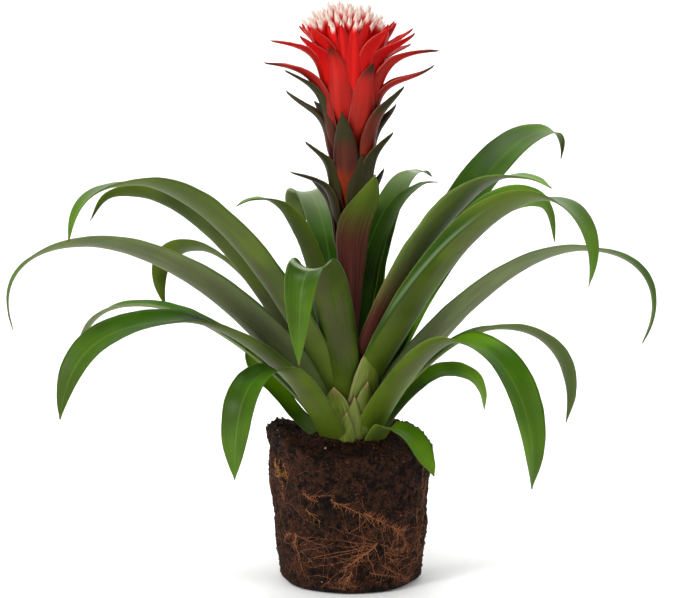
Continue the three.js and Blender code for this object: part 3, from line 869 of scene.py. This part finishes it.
# %% Soil material
def soil_material():
    finish = material("soil")
    here = object_place()
    tone, hollow = attributes("tone", "hollow")
    patches = noise(here, 38.0, 4.0)
    grit = noise(here, 620.0, 2.0, 0.6)
    fibre = noise(here, 210.0, 4.0, 0.65)
    colour = blend(ease(fibre, 0.4, 0.62), "0a0502", "301a0f")
    colour = blend(ease(patches, 0.5, 0.7) * 0.3, colour, "331b10")
    rust = ease(grit, 0.56, 0.66) * ease(patches, 0.38, 0.58)
    colour = blend(rust * 0.6, colour, "6a3c24")
    # painted light and shade: raised lumps are lightened, and pits are darkened almost to black
    colour = blend(ease(hollow, 0.05, 0.35) * 0.5, colour, "3d2315")  # lumps catch the light
    colour = blend(ease(hollow, 0.0, -0.25) * 0.85, colour, "040201")  # pits are almost black
    colour = blend(ease(tone, 0.6, 0.97) * 0.75, colour, "54301e")  # the lighter crumbs
    colour = blend(ease(tone, 0.992, 0.996), colour, "a8857a")  # and a few pale ones
    return surfaced(finish, colour, 0.9, 0.15, bump(grit + fibre, 0.8, 0.0012))


# %% Make the soil
SOIL_FINISH = soil_material()
soil = grow("soil_body", soil_tree(), {"Finish": SOIL_FINISH}, ball_mesh())
dress(smooth_shaded(soil), "soil", "root_ball")
crumbs = grow("soil_crumbs", crumb_tree(), {"Finish": SOIL_FINISH}, soil.data.copy())
dress(crumbs, "soil")
print("soil faces", len(soil.data.polygons), "crumb faces", len(crumbs.data.polygons))

# %% [markdown]
# ## Roots
# Fine roots web the side of the ball. Roots drawn by hand look stiff, and scattered ones don't branch. So a
# seeded walk on the unrolled side draws each strand, which bends as it goes and sends out thinner branches.
# Fans of strands start where roots break the surface all round, and a list of noted strands follows those
# that stand out at the front. A tree lays the strands on the soil, turns them into tapering rods and sets
# short root hairs on those that carry them.

# %% Root walks
ROOT_STEP = 1.6
LOWEST_ROOT, HIGHEST_ROOT = 4, 97
LEAST_POINTS, THINNING = 3, 0.45
# A branch's radius and sway are shares of its parent's; the others are the range to draw from.
BRANCH_RADIUS, BRANCH_SWAY, LEAST_BRANCH_SWAY = 0.6, 1.3, 11
BRANCHES, BRANCH_TURN, BRANCH_LENGTH = (3, 5), (25, 65), (0.3, 0.6)


def walk(chance, start, direction, length, sway):
    """Points [angle, height] of a strand on the ball's side; direction is 0 to the right and 90 upwards."""
    angle, height = start
    course, points = math.radians(direction), [start]
    for _ in range(max(LEAST_POINTS, round(length / ROOT_STEP))):
        course += math.radians(chance.gauss(0, sway))
        angle += math.degrees(ROOT_STEP * math.cos(course) / ball_radius(math.radians(angle), height))
        height += ROOT_STEP * math.sin(course)
        if not LOWEST_ROOT < height < HIGHEST_ROOT:
            break
        points.append((angle, height))
    return points


def strand(routes, points, radius, hairy, tone):
    """Adds one strand as a poly spline. Its tilt carries the hair's length, and its tone as the fraction."""
    if len(points) < LEAST_POINTS:
        return
    spline = routes.splines.new("POLY")
    spline.points.add(len(points) - 1)
    for k, ((angle, height), point) in enumerate(zip(points, spline.points)):
        turn = math.radians(angle)
        size = radius * between(1, THINNING, k / (len(points) - 1))
        point.co = (*polar(ball_radius(turn, height), turn, height), 1)
        point.radius = size * MM
        point.tilt = hairy + tone


def branching(routes, chance, start, direction, length, radius, level, tone, hairy=0.0, sway=9):
    points = walk(chance, start, direction, length, sway)
    strand(routes, points, radius, hairy, tone)
    if level == 0:
        return
    for _ in range(chance.randint(*BRANCHES)):
        at = chance.randrange(1, max(2, len(points)))
        turned = direction + chance.choice((-1, 1)) * chance.uniform(*BRANCH_TURN)
        rest = length * chance.uniform(*BRANCH_LENGTH)
        bend = max(sway * BRANCH_SWAY, LEAST_BRANCH_SWAY)
        knot = points[min(at, len(points) - 1)]
        branching(routes, chance, knot, turned, rest, radius * BRANCH_RADIUS, level - 1, tone, sway=bend)


# %% Root routes
# Where fans of strands break the surface, as [heading, height].
ROOT_FANS = [
    (-148, 64), (-134, 28), (-99, 12), (-62, 30), (-12, 24),
    (24, 62), (66, 28), (104, 70), (142, 24), (178, 62),
]
FAN_STRANDS, FAN_RADIUS, FAN_SEED = 4, 0.18, 21
FAN_TONE, FAN_LENGTH, ALL_ROUND = (0, 0.7), (22, 48), (0, 360)
# Strands that stand out at the front, as [heading, height, direction, length, radius, hair, tone].
NOTED_ROOTS = [
    (-104, 72, -37, 30, 0.4, 5, 0.55),
    (-80, 62, -33, 38, 0.34, 6, 0.55),
    (-56, 48, -50, 18, 0.24, 5, 0.5),
    (-69, 38, 179, 56, 0.16, 0, 0.35),
    (-69, 38, 188, 46, 0.16, 0, 0.4),
    (-70, 37, 194, 52, 0.18, 0, 0.45),
    (-70, 37, 200, 50, 0.2, 0, 0.5),
    (-70, 36, 205, 60, 0.22, 0, 0.5),
    (-70, 36, 211, 50, 0.18, 0, 0.45),
    (-70, 39, 152, 28, 0.16, 0, 0.4),
    (-68, 38, 128, 20, 0.15, 0, 0.3),
    (-69, 38, 228, 33, 0.5, 4, 0.45),
    (-89, 17, 240, 17, 0.44, 5, 0.4),
    (-90, 12, 200, 14, 0.3, 4, 0.25),
    (-75, 16, -10, 42, 0.3, 4, 0.25),
    (-66, 22, -38, 30, 0.26, 3, 0.3),
    (-66, 37, -30, 30, 0.2, 3, 0.4),
    (-135, 43, 270, 24, 0.18, 0, 0.5),
    (-138, 43, 205, 11, 0.22, 3, 0.5),
    (-134, 43, 255, 9, 0.24, 4, 0.55),
    (-135, 42, -18, 30, 0.18, 0, 0.4),
    (-126, 74, -22, 13, 0.24, 4, 0.55),
    (-120, 73, 4, 20, 0.16, 2, 0.4),
    (-124, 63, -42, 15, 0.18, 0, 0.9),
    (-154, 96, 262, 14, 0.14, 3, 0.9),
    (-149, 96, 250, 14, 0.14, 2, 0.95),
    (-144, 94, 285, 11, 0.14, 3, 0.9),
    (-156, 92, -40, 13, 0.14, 3, 0.95),
    (-155, 82, 32, 13, 0.14, 2, 0.85),
    (-148, 80, 262, 14, 0.2, 3, 0.55),
    (-52, 49, 270, 28, 0.14, 0, 0.35),
    (-56, 47, 262, 26, 0.14, 0, 0.3),
    (-48, 46, 280, 24, 0.14, 2, 0.35),
    (-27, 90, 267, 34, 0.2, 3, 0.3),
    (-19, 80, 263, 52, 0.2, 3, 0.3),
    (-33, 60, 275, 40, 0.18, 2, 0.35),
]
NOTED_SWAY, NOTED_SEED = 2.2, 8


def root_routes():
    chance = random.Random(FAN_SEED)
    routes = bpy.data.curves.new("routes", "CURVE")
    routes.dimensions = "3D"
    for start in ROOT_FANS:
        tone = chance.uniform(*FAN_TONE)
        for _ in range(FAN_STRANDS):
            direction, length = chance.uniform(*ALL_ROUND), chance.uniform(*FAN_LENGTH)
            branching(routes, chance, start, direction, length, FAN_RADIUS, 2, tone)
    chance = random.Random(NOTED_SEED)
    for heading, height, direction, length, radius, hairy, tone in NOTED_ROOTS:
        branching(routes, chance, (heading, height), direction, length, radius, 1, tone, hairy, NOTED_SWAY)
    print("root strands:", len(routes.splines))
    return placed("routes", routes)


# %% Root tree
ROOT_INPUTS = {
    "Routes": "Object",
    "Soil": "Object",
    "Lift": 0.0002,
    "Hair Gap": 0.0006,
    "Hair Unit": 0.001,
    "Finish": "Material",
}
ROD_SIDES = 5
HAIR_CONE = {"Vertices": 3, "Radius Top": 0.08, "Radius Bottom": 0.2, "Depth": 1.0}
# A hair leans to a side, forward along its root and outwards, each drawn between two limits.
HAIR_LOW, HAIR_HIGH = (-1.0, -0.2, 0.1), (1.0, 0.9, 0.5)


def root_tree():
    given = open_rule("Roots", ROOT_INPUTS)
    tilt = wire("GeometryNodeInputCurveTilt")
    routes = store(shape_of(given["Routes"]), "tone", calc("FRACT", tilt))
    routes = store(routes, "hairy", calc("FLOOR", tilt))
    routes = wire("GeometryNodeSetCurveTilt", {"Curve": routes, "Tilt": 0.0})
    here = place_here()
    skin = {0: shape_of(given["Soil"])}
    nearest = wire("GeometryNodeProximity", skin, "Position", target_element="FACES")
    step = {"Value": nearest - here, "Iterations": 1}
    step = wire("GeometryNodeBlurAttribute", step, data_type="FLOAT_VECTOR")
    outward = vector("NORMALIZE", here * (1.0, 1.0, 0.0))
    routes = shifted(routes, step + outward * given["Lift"])
    rods = rodded(routes, wire("GeometryNodeInputRadius"), ROD_SIDES)

    spaced = {"Curve": routes, "Length": given["Hair Gap"]}
    carried = wires("GeometryNodeCurveToPoints", spaced, mode="LENGTH")
    tangent = carried["Tangent"]
    side, forward, out = split(drawn(5, HAIR_LOW, HAIR_HIGH))
    sideways = vector("CROSS_PRODUCT", tangent, outward) * calc("SIGN", side)
    course = sideways + tangent * forward + outward * out
    aim = wire("FunctionNodeAlignRotationToVector", {"Vector": course}, axis="Z")
    hairy = stored("hairy")
    size = xyz(0.001, 0.001, drawn(6, 0.3, 1.0) * hairy * given["Hair Unit"])
    hair = wire("GeometryNodeMeshCone", HAIR_CONE)
    hairs = planted(carried["Points"], hair, aim, size, above(hairy, 0.5))
    return close_rule(together(hairs, rods), given["Finish"])


# %% Root material
def root_material():
    finish = material("root")
    mottle = noise(object_place(), 160.0, 3.0)
    [tone] = attributes("tone")
    colour = blend(ease(tone, 0.0, 0.5), "5c3520", "965a30")
    colour = blend(ease(tone, 0.65, 0.9), colour, "b5782f")
    colour = blend(ease(mottle, 0.4, 0.7) * 0.5, colour, "4a2a18")
    return surfaced(finish, colour, 0.75)


# %% Make the roots
routes = root_routes()
roots = grow("root_strands", root_tree(), {"Routes": routes, "Soil": soil, "Finish": root_material()})
discard(routes)
dress(smooth_shaded(roots), "root", "roots")
print("root faces", len(roots.data.polygons))

# %% [markdown]
# ## The flower stalk and its bracts
# The stalk is a round rod on a cone that fills the heart of the rosette. Pointed bracts clasp it, from
# among the leaves up to the head. They are small leaves in all but colour, so they come from the blade rule
# too. Each row names the heading, width and foot, where the tip is and how steeply it ends, and then how far
# up the dark tip starts, how dull the bract is, and a foot or a fullness of its own.


# %% Bract material
def bract_material(name, foot, body, tip, vein_and_side_shade, edge, streak):
    """The colour goes from the foot's to the body's, and to the tip's past the share of the length that
    blush says. Veins darken the body, painted shade darkens its sides, a painted highlight brightens the
    middle, the margin has its own colour, on the head a painted highlight, and pale says how dull the bract
    is."""
    finish = material(name)
    along, across, seed, begin, dull = attributes("along", "across", "seed", "blush", "pale")
    lines = noise(xyz(along * 2.5, across * 16.0, seed), 1.0, 4.0, 0.55)
    wander = (lines - 0.5) * 0.2
    past = along + wander - begin
    away = calc("ABSOLUTE", across)
    colour = blend(ease(past, -0.36, -0.2), foot, body)
    colour = blend(calc("FRACT", seed * 0.37) * 0.5, colour, vein_and_side_shade)
    colour = blend(ease(lines, 0.42, 0.66) * 0.4, colour, vein_and_side_shade)
    # painted shade: the sides of each bract's gutter are darker
    colour = blend(ease(away, 0.45, 0.9) * 0.4, colour, vein_and_side_shade)
    # painted highlight along the middle of each bract
    colour = blend(ease(away + wander, 0.3, 0.02) * 0.3, colour, streak)
    colour = blend(dull, colour, "7c2a20")
    colour = blend(ease(past, -0.1, 0.08), colour, tip)
    # the margin; on the head bracts its pale colour is a painted highlight
    colour = blend(ease(away, 0.9, 0.98) * 0.45, colour, edge)
    return surfaced(finish, colour, 0.42, 0.09, bump(lines, 0.22, 0.0004))


STALK_FINISH = bract_material("stalk bract", "982e0c", "54261c", "302d17", "2c1610", "7c5238", "6a3020")
HEAD_FINISH = bract_material("head bract", "b80c08", "d4040c", "2a1c10", "7a0206", "dc6a5c", "e8281c")

# %% Bract tables
STALK_BRACTS = [
    (-50, 23, 214, (24, 284), 60, dict(dark=0.3)),
    (80, 22, 218, (34, 290), 40, dict(dark=0.4)),
    (155, 22, 232, (32, 298), 40, dict(dark=0.3)),
    (20, 24, 240, (26, 306), 66, dict(dark=0.4)),
    (-168, 20, 252, (45, 305), 18, dict(dark=0.2)),
    (-105, 23, 272, (24, 349), 76, dict(dark=0.72, share=0.14, full=0.5)),
    (96, 24, 268, (38, 328), 34, dict(dark=0.5)),
    (-160, 22, 268, (35, 327), 40, dict(dark=0.3)),
    (-25, 24, 266, (34, 334), 46, dict(dark=0.25)),
    (-60, 22, 266, (17, 318), 78, dict(dark=0.1)),
    (22, 24, 284, (36, 353), 56, dict(dark=0.4)),
    (132, 24, 288, (40, 354), 36, dict(dark=0.5)),
    (170, 22, 292, (48, 363), 44, dict(dark=0.5)),
    (62, 24, 296, (40, 360), 36, dict(dark=0.5)),
    (-26, 24, 286, (43, 368), 50, dict(dark=0.7, dull=0.45)),
    (-164, 20, 300, (50, 379), 26, dict(dark=0.5)),
]
HEAD_BRACTS = [
    (106, 24, 322, (54, 378), 16, dict(dull=0.4)),
    (0, 24, 316, (61, 382), 36, dict(dark=0.86, dull=0.5)),
    (-56, 25, 318, (29, 384), 48, dict(dark=0.87, dull=0.6)),
    (-170, 28, 312, (64, 384), 4, dict(dark=0.9, dull=0.45)),
    (60, 24, 326, (56, 386), 16, dict(dull=0.4)),
    (-118, 25, 326, (33, 396), 44, dict(dark=0.93, dull=0.35)),
    (-14, 27, 324, (66, 393), 0, dict(dark=0.9, dull=0.45)),
    (130, 22, 336, (56, 394), 18),
    (-170, 24, 340, (59, 400), 8, dict(dull=0.35)),
    (34, 22, 342, (54, 396), 20, dict(dull=0.5)),
    (-32, 24, 340, (54, 406), 38),
    (86, 22, 346, (50, 402), 24),
    (-146, 24, 344, (44, 404), 42),
    (152, 21, 350, (43, 410), 40),
    (14, 21, 350, (47, 408), 38),
]
# The innermost bracts stand round the dome like a cup, and have no dark tips.
CUP_BRACTS = [
    (-84, 17, 336, (27, 411), 72),
    (-50, 22, 340, (41, 409), 44),
    (-136, 20, 344, (39, 409), 46),
    (-20, 15, 350, (35, 413), 58),
    (-66, 14, 346, (30, 413), 66),
    (-104, 14, 346, (29, 412), 68),
    (-121, 14, 346, (31, 411), 64),
    (-35, 14, 346, (33, 412), 62),
    (-152, 14, 348, (35, 411), 58),
    (-169, 15, 350, (36, 412), 54),
    (15, 18, 350, (33, 414), 60),
    (48, 19, 350, (32, 415), 60),
    (80, 18, 350, (32, 414), 60),
    (112, 19, 350, (33, 413), 58),
    (145, 18, 350, (33, 415), 60),
    (178, 18, 350, (34, 412), 58),
]
HEAD_DARK, NEVER_DARK = 0.97, 1.4

# %% Grow the bracts
BRACT_FOOT_RADIUS, BRACT_RISE, BRACT_FOOT_SHARE, BRACT_FULL_AT = 3.6, 60, 0.45, 0.42
COLUMN_RADIUS, COLUMN_FROM, COLUMN_FLARE, COLUMN_SLOPE = 9, 240, 0.075, 80
BRACT_CUPS = (58, 52, 34)
BRACT_LOOKS = {"Thickness": 0.001, "Ripple": 0.0005, "Rings": 48}
FIRST_BRACT_SEED, BRACT_SEED_STEP = 90.0, 2.3


def joined(name, pieces):
    """The pieces as one object called name."""
    pieces[0].name = pieces[0].data.name = name
    with bpy.context.temp_override(active_object=pieces[0], selected_editable_objects=pieces):
        bpy.ops.object.join()
    return pieces[0]


def bracts(name, finish, rows, taper=0.3, dark=HEAD_DARK):
    pieces = []
    for number, (heading, width, foot, tip, end, *special) in enumerate(rows):
        bract = dict(*special)
        middle = (foot + tip[1]) / 2
        bow = (COLUMN_RADIUS + COLUMN_FLARE * (middle - COLUMN_FROM), middle)
        looks = BRACT_LOOKS | {
            "Full At": bract.get("full", BRACT_FULL_AT),
            "Taper From": taper,
            "Seed": FIRST_BRACT_SEED + BRACT_SEED_STEP * number,
            "Blush": bract.get("dark", dark),
            "Pale": bract.get("dull", 0.0),
        }
        foot = (BRACT_FOOT_RADIUS, foot)
        shape = dict(foot=foot, rise=BRACT_RISE, bow=bow, level=COLUMN_SLOPE, tip=tip, end=end)
        base_width = bract.get("share", BRACT_FOOT_SHARE) * width
        piece = blade(f"bract_{number + 1}", finish, heading, width, base_width, BRACT_CUPS, looks, **shape)
        pieces.append(piece)
    return joined(name, pieces)


dress(bracts("stalk_bracts", STALK_FINISH, STALK_BRACTS), "stalk_bract", "flower_stalk")
dress(bracts("head_bracts", HEAD_FINISH, HEAD_BRACTS), "head_bract", "flower_head")
dress(bracts("cup_bracts", HEAD_FINISH, CUP_BRACTS, taper=0.66, dark=NEVER_DARK), "head_bract")
print("bracts:", len(STALK_BRACTS), "on the stalk and", len(HEAD_BRACTS), "on the head")

# %% Stalk and head cores
# Each profile goes from below upwards, as [radius, height] in millimetres.
CORE_SIDES = 28
STALK_PROFILE = [
    (0, 92.3), (23.4, 92.3), (23.4, 95.7), (6, 135.7), (4.6, 152), (5.5, 240), (7.5, 300), (6, 316), (0, 316),
]
HEAD_PROFILE = [(0, 316.3), (4.6, 316.3), (6.1, 340), (14, 366), (12, 386), (7, 396), (0, 398)]


def core(name, profile, finish):
    """A closed body turned about the plant's axis."""
    turns = [math.tau * k / CORE_SIDES for k in range(CORE_SIDES)]
    rings = [[polar(out, turn, up) for turn in turns] for out, up in profile[1:-1]]
    piece = placed(name, ring_mesh(name, rings, profile[0][1] * MM, profile[-1][1] * MM))
    piece.data.materials.append(finish)
    return piece


dress(core("stalk_core", STALK_PROFILE, STALK_FINISH), "stalk_bract")
dress(core("head_core", HEAD_PROFILE, HEAD_FINISH), "head_bract")
print("core rings:", len(STALK_PROFILE), "and", len(HEAD_PROFILE))

# %% [markdown]
# ## The dome of florets
# Florets stand on the head like the scales of a cone. They could be placed one by one, but each turned by the
# golden angle from the one before fills a dome evenly, and the tree then needs their number alone. Each is a
# slender red spindle that ends in a cream-white tip.

# %% What the dome is told
FLORETS = {
    "Count": 84,
    "Shift": (-0.0045, 0.0, 0.0),
    "Lean": math.radians(57),
    "Foot Spread": 0.007,
    "Foot Height": 0.369,
    "Foot Rise": 0.010,
    "Spread": 0.036,
    "Centre": 0.394,
    "Rise": 0.0315,
    "Uneven": 0.06,
    "Width": 0.0024,
    "Finish": "Material",
}
GOLDEN_ANGLE = math.radians(137.508)
UNEVEN_TURNS = 1.7
# A floret's radius along its length, as [share of the length, share of the width].
FLORET_RADII = [(0.0, 0.5), (0.45, 0.85), (0.72, 1.0), (0.84, 0.76), (0.94, 0.74), (1.0, 0.44)]
FLORET_RINGS, FLORET_SIDES = 14, 9
PETAL_TEETH, TOOTH_DEPTH, TOOTH_FROM = 3, 0.07, 0.86


# %% Floret tree
def floret():
    """One floret, a unit long and wide, whose end has small petal teeth."""
    line = wire("GeometryNodeCurvePrimitiveLine", {"Start": (0, 0, 0), "End": (0, 0, 1)})
    line = wire("GeometryNodeResampleCurve", {"Curve": line, "Count": FLORET_RINGS}, mode="COUNT")
    factor = wire("GeometryNodeSplineParameter")
    line = store(line, "reach", factor)
    outline = node("ShaderNodeFloatCurve", {"Value": factor})
    knots = outline.mapping.curves[0].points
    while len(knots) < len(FLORET_RADII):
        knots.new(0.5, 0.5)
    for knot, place in zip(knots, FLORET_RADII):
        knot.location = place
    outline.mapping.update()
    rod = rodded(line, Wire(outline.outputs[0]), FLORET_SIDES)
    x, y, _ = split(place_here())
    teeth = calc("COSINE", calc("ARCTAN2", y, x) * float(PETAL_TEETH))
    teeth = teeth * ease(stored("reach"), TOOTH_FROM, 1.0, 0.0, TOOTH_DEPTH)
    return shifted(rod, xyz(0.0, 0.0, teeth))


def floret_tree():
    given = open_rule("Floret dome", FLORETS)
    index = wire("GeometryNodeInputIndex")
    share = (index + 0.5) / given["Count"]
    lean = calc("ARCCOSINE", 1.0 - share * (1.0 - calc("COSINE", given["Lean"])))
    heading = index * GOLDEN_ANGLE
    outward = xyz(calc("COSINE", heading), calc("SINE", heading), 0.0)
    sine, cosine = calc("SINE", lean), calc("COSINE", lean)
    reach = 1.0 - given["Uneven"] * calc("SINE", heading * UNEVEN_TURNS)

    def spot(out, up):
        return outward * out + (given["Shift"] + xyz(0.0, 0.0, up))

    foot = spot(given["Foot Spread"] * sine, given["Foot Height"] + given["Foot Rise"] * cosine)
    top = spot(given["Spread"] * sine * reach, given["Centre"] + given["Rise"] * cosine * reach)
    axis = top - foot
    size = xyz(given["Width"], given["Width"], vector("LENGTH", axis))
    spots = wire("GeometryNodePoints", {"Count": given["Count"], "Position": foot})
    aim = wire("FunctionNodeAlignRotationToVector", {"Vector": axis}, axis="Z")
    florets = planted(spots, floret(), aim, size)
    return close_rule(store(florets, "tone", drawn(8), domain="INSTANCE"), given["Finish"])


# %% Floret material
def floret_material():
    finish = material("floret")
    reach, tone = attributes("reach", "tone")
    streak = noise(object_place(), 420.0, 3.0)
    red = blend(ease(reach, 0.4, 0.72), "5a0206", "d0040c")
    edge = reach + (streak - 0.5) * 0.08 - tone * 0.03
    colour = blend(ease(edge, 0.8, 0.87), red, "cf5a54")
    colour = blend(ease(edge, 0.85, 0.93), colour, "e2cfc4")
    colour = blend(ease(edge, 0.95, 1.0) * 0.55, colour, "8f7766")
    return surfaced(finish, colour, 0.5, 0.12)


# %% Make the florets
florets = grow("florets", floret_tree(), {"Finish": floret_material()})
dress(smooth_shaded(florets), "head_bract")
print("floret faces", len(florets.data.polygons))

# %% [markdown]
# ## Floor and light
# The plant stands on a plain white sheet that rises behind it with no edge. The sheet is clear when seen from
# its other side, so that the plant's back can be looked at too. Large soft lamps at the front left and right,
# one low at the left and one above light it as in a bright studio, so that the leaves show long soft glints.
# One more lamp is aimed at the sheet.

# %% Floor
SHEET_FRONT, SHEET_FLAT, SHEET_BEND, SHEET_TOP = -3.0, 1.2, 0.8, 3.5
SHEET_HALF_WIDTH, SHEET_DROP, BEND_STEPS = 4.0, 0.0002, 18
SHEET_WHITE = "f4f4f4"


def sheet_finish():
    finish = material("white sheet")
    surfaced(finish, paint(SHEET_WHITE), 0.9)
    nodes = finish.node_tree.nodes
    behind = wire("ShaderNodeNewGeometry", output="Backfacing")
    seen, clear = Wire(nodes["Principled BSDF"].outputs[0]), wire("ShaderNodeBsdfTransparent")
    mixed = wire("ShaderNodeMixShader", {0: behind, 1: seen, 2: clear})
    feed(nodes["Material Output"].inputs["Surface"], mixed)
    return finish


def sweep_floor():
    """A sheet that runs along the floor and turns up behind the plant."""
    profile = [(SHEET_FRONT, 0.0), (SHEET_FLAT, 0.0)]
    for turn in [math.radians(90 / BEND_STEPS * k) for k in range(1, BEND_STEPS + 1)]:
        profile.append((SHEET_FLAT + SHEET_BEND * math.sin(turn), SHEET_BEND - SHEET_BEND * math.cos(turn)))
    profile.append((SHEET_FLAT + SHEET_BEND, SHEET_TOP))
    points = [(x, y, z - SHEET_DROP) for y, z in profile for x in (-SHEET_HALF_WIDTH, SHEET_HALF_WIDTH)]
    faces = [(2 * k, 2 * k + 1, 2 * k + 3, 2 * k + 2) for k in range(len(profile) - 1)]
    mesh = bpy.data.meshes.new("studio_floor")
    mesh.from_pydata(points, [], faces)
    mesh.shade_smooth()
    mesh.materials.append(sheet_finish())
    floor = placed("studio_floor", mesh)
    return floor


sweep_floor()

# %% Lamps
PLANT_MIDDLE, SHEET_BACK = (0, 0, 0.22), (0, 1.9, 0.8)
# Each lamp's name, place, what it looks at, its width in metres and its power in watts.
LAMPS = [
    ("left lamp", (-1.3, -1.4, 1.7), PLANT_MIDDLE, 0.8, 39),
    ("right lamp", (1.6, -1.1, 1.0), PLANT_MIDDLE, 1.2, 12),
    ("low lamp", (-1.5, -1.2, 0.3), PLANT_MIDDLE, 0.9, 9),
    ("top lamp", (0.1, 0.6, 2.0), PLANT_MIDDLE, 1.2, 11),
    ("sheet lamp", (0, 0.4, 2.6), SHEET_BACK, 1.6, 45),
]
AIR_LIGHT = 0.5

for name, place, aim, size, power in LAMPS:
    light = bpy.data.lights.new(name, "AREA")
    light.shape = "DISK"
    light.size = size
    light.energy = power
    source = placed(name, light)
    source.location = place
    source.rotation_euler = (Vector(aim) - Vector(place)).to_track_quat("-Z", "Y").to_euler()
world = bpy.data.worlds.new("studio air")
world.use_nodes = True
air = world.node_tree.nodes["Background"].inputs
air["Color"].default_value = (1, 1, 1, 1)
air["Strength"].default_value = AIR_LIGHT
bpy.context.scene.world = world
bpy.context.scene.view_settings.view_transform = "Standard"
print("lamps:", len(LAMPS))

# %% [markdown]
# ## Last update
# The view layer is brought up to date at the end.

# %% Update
bpy.context.view_layer.update()
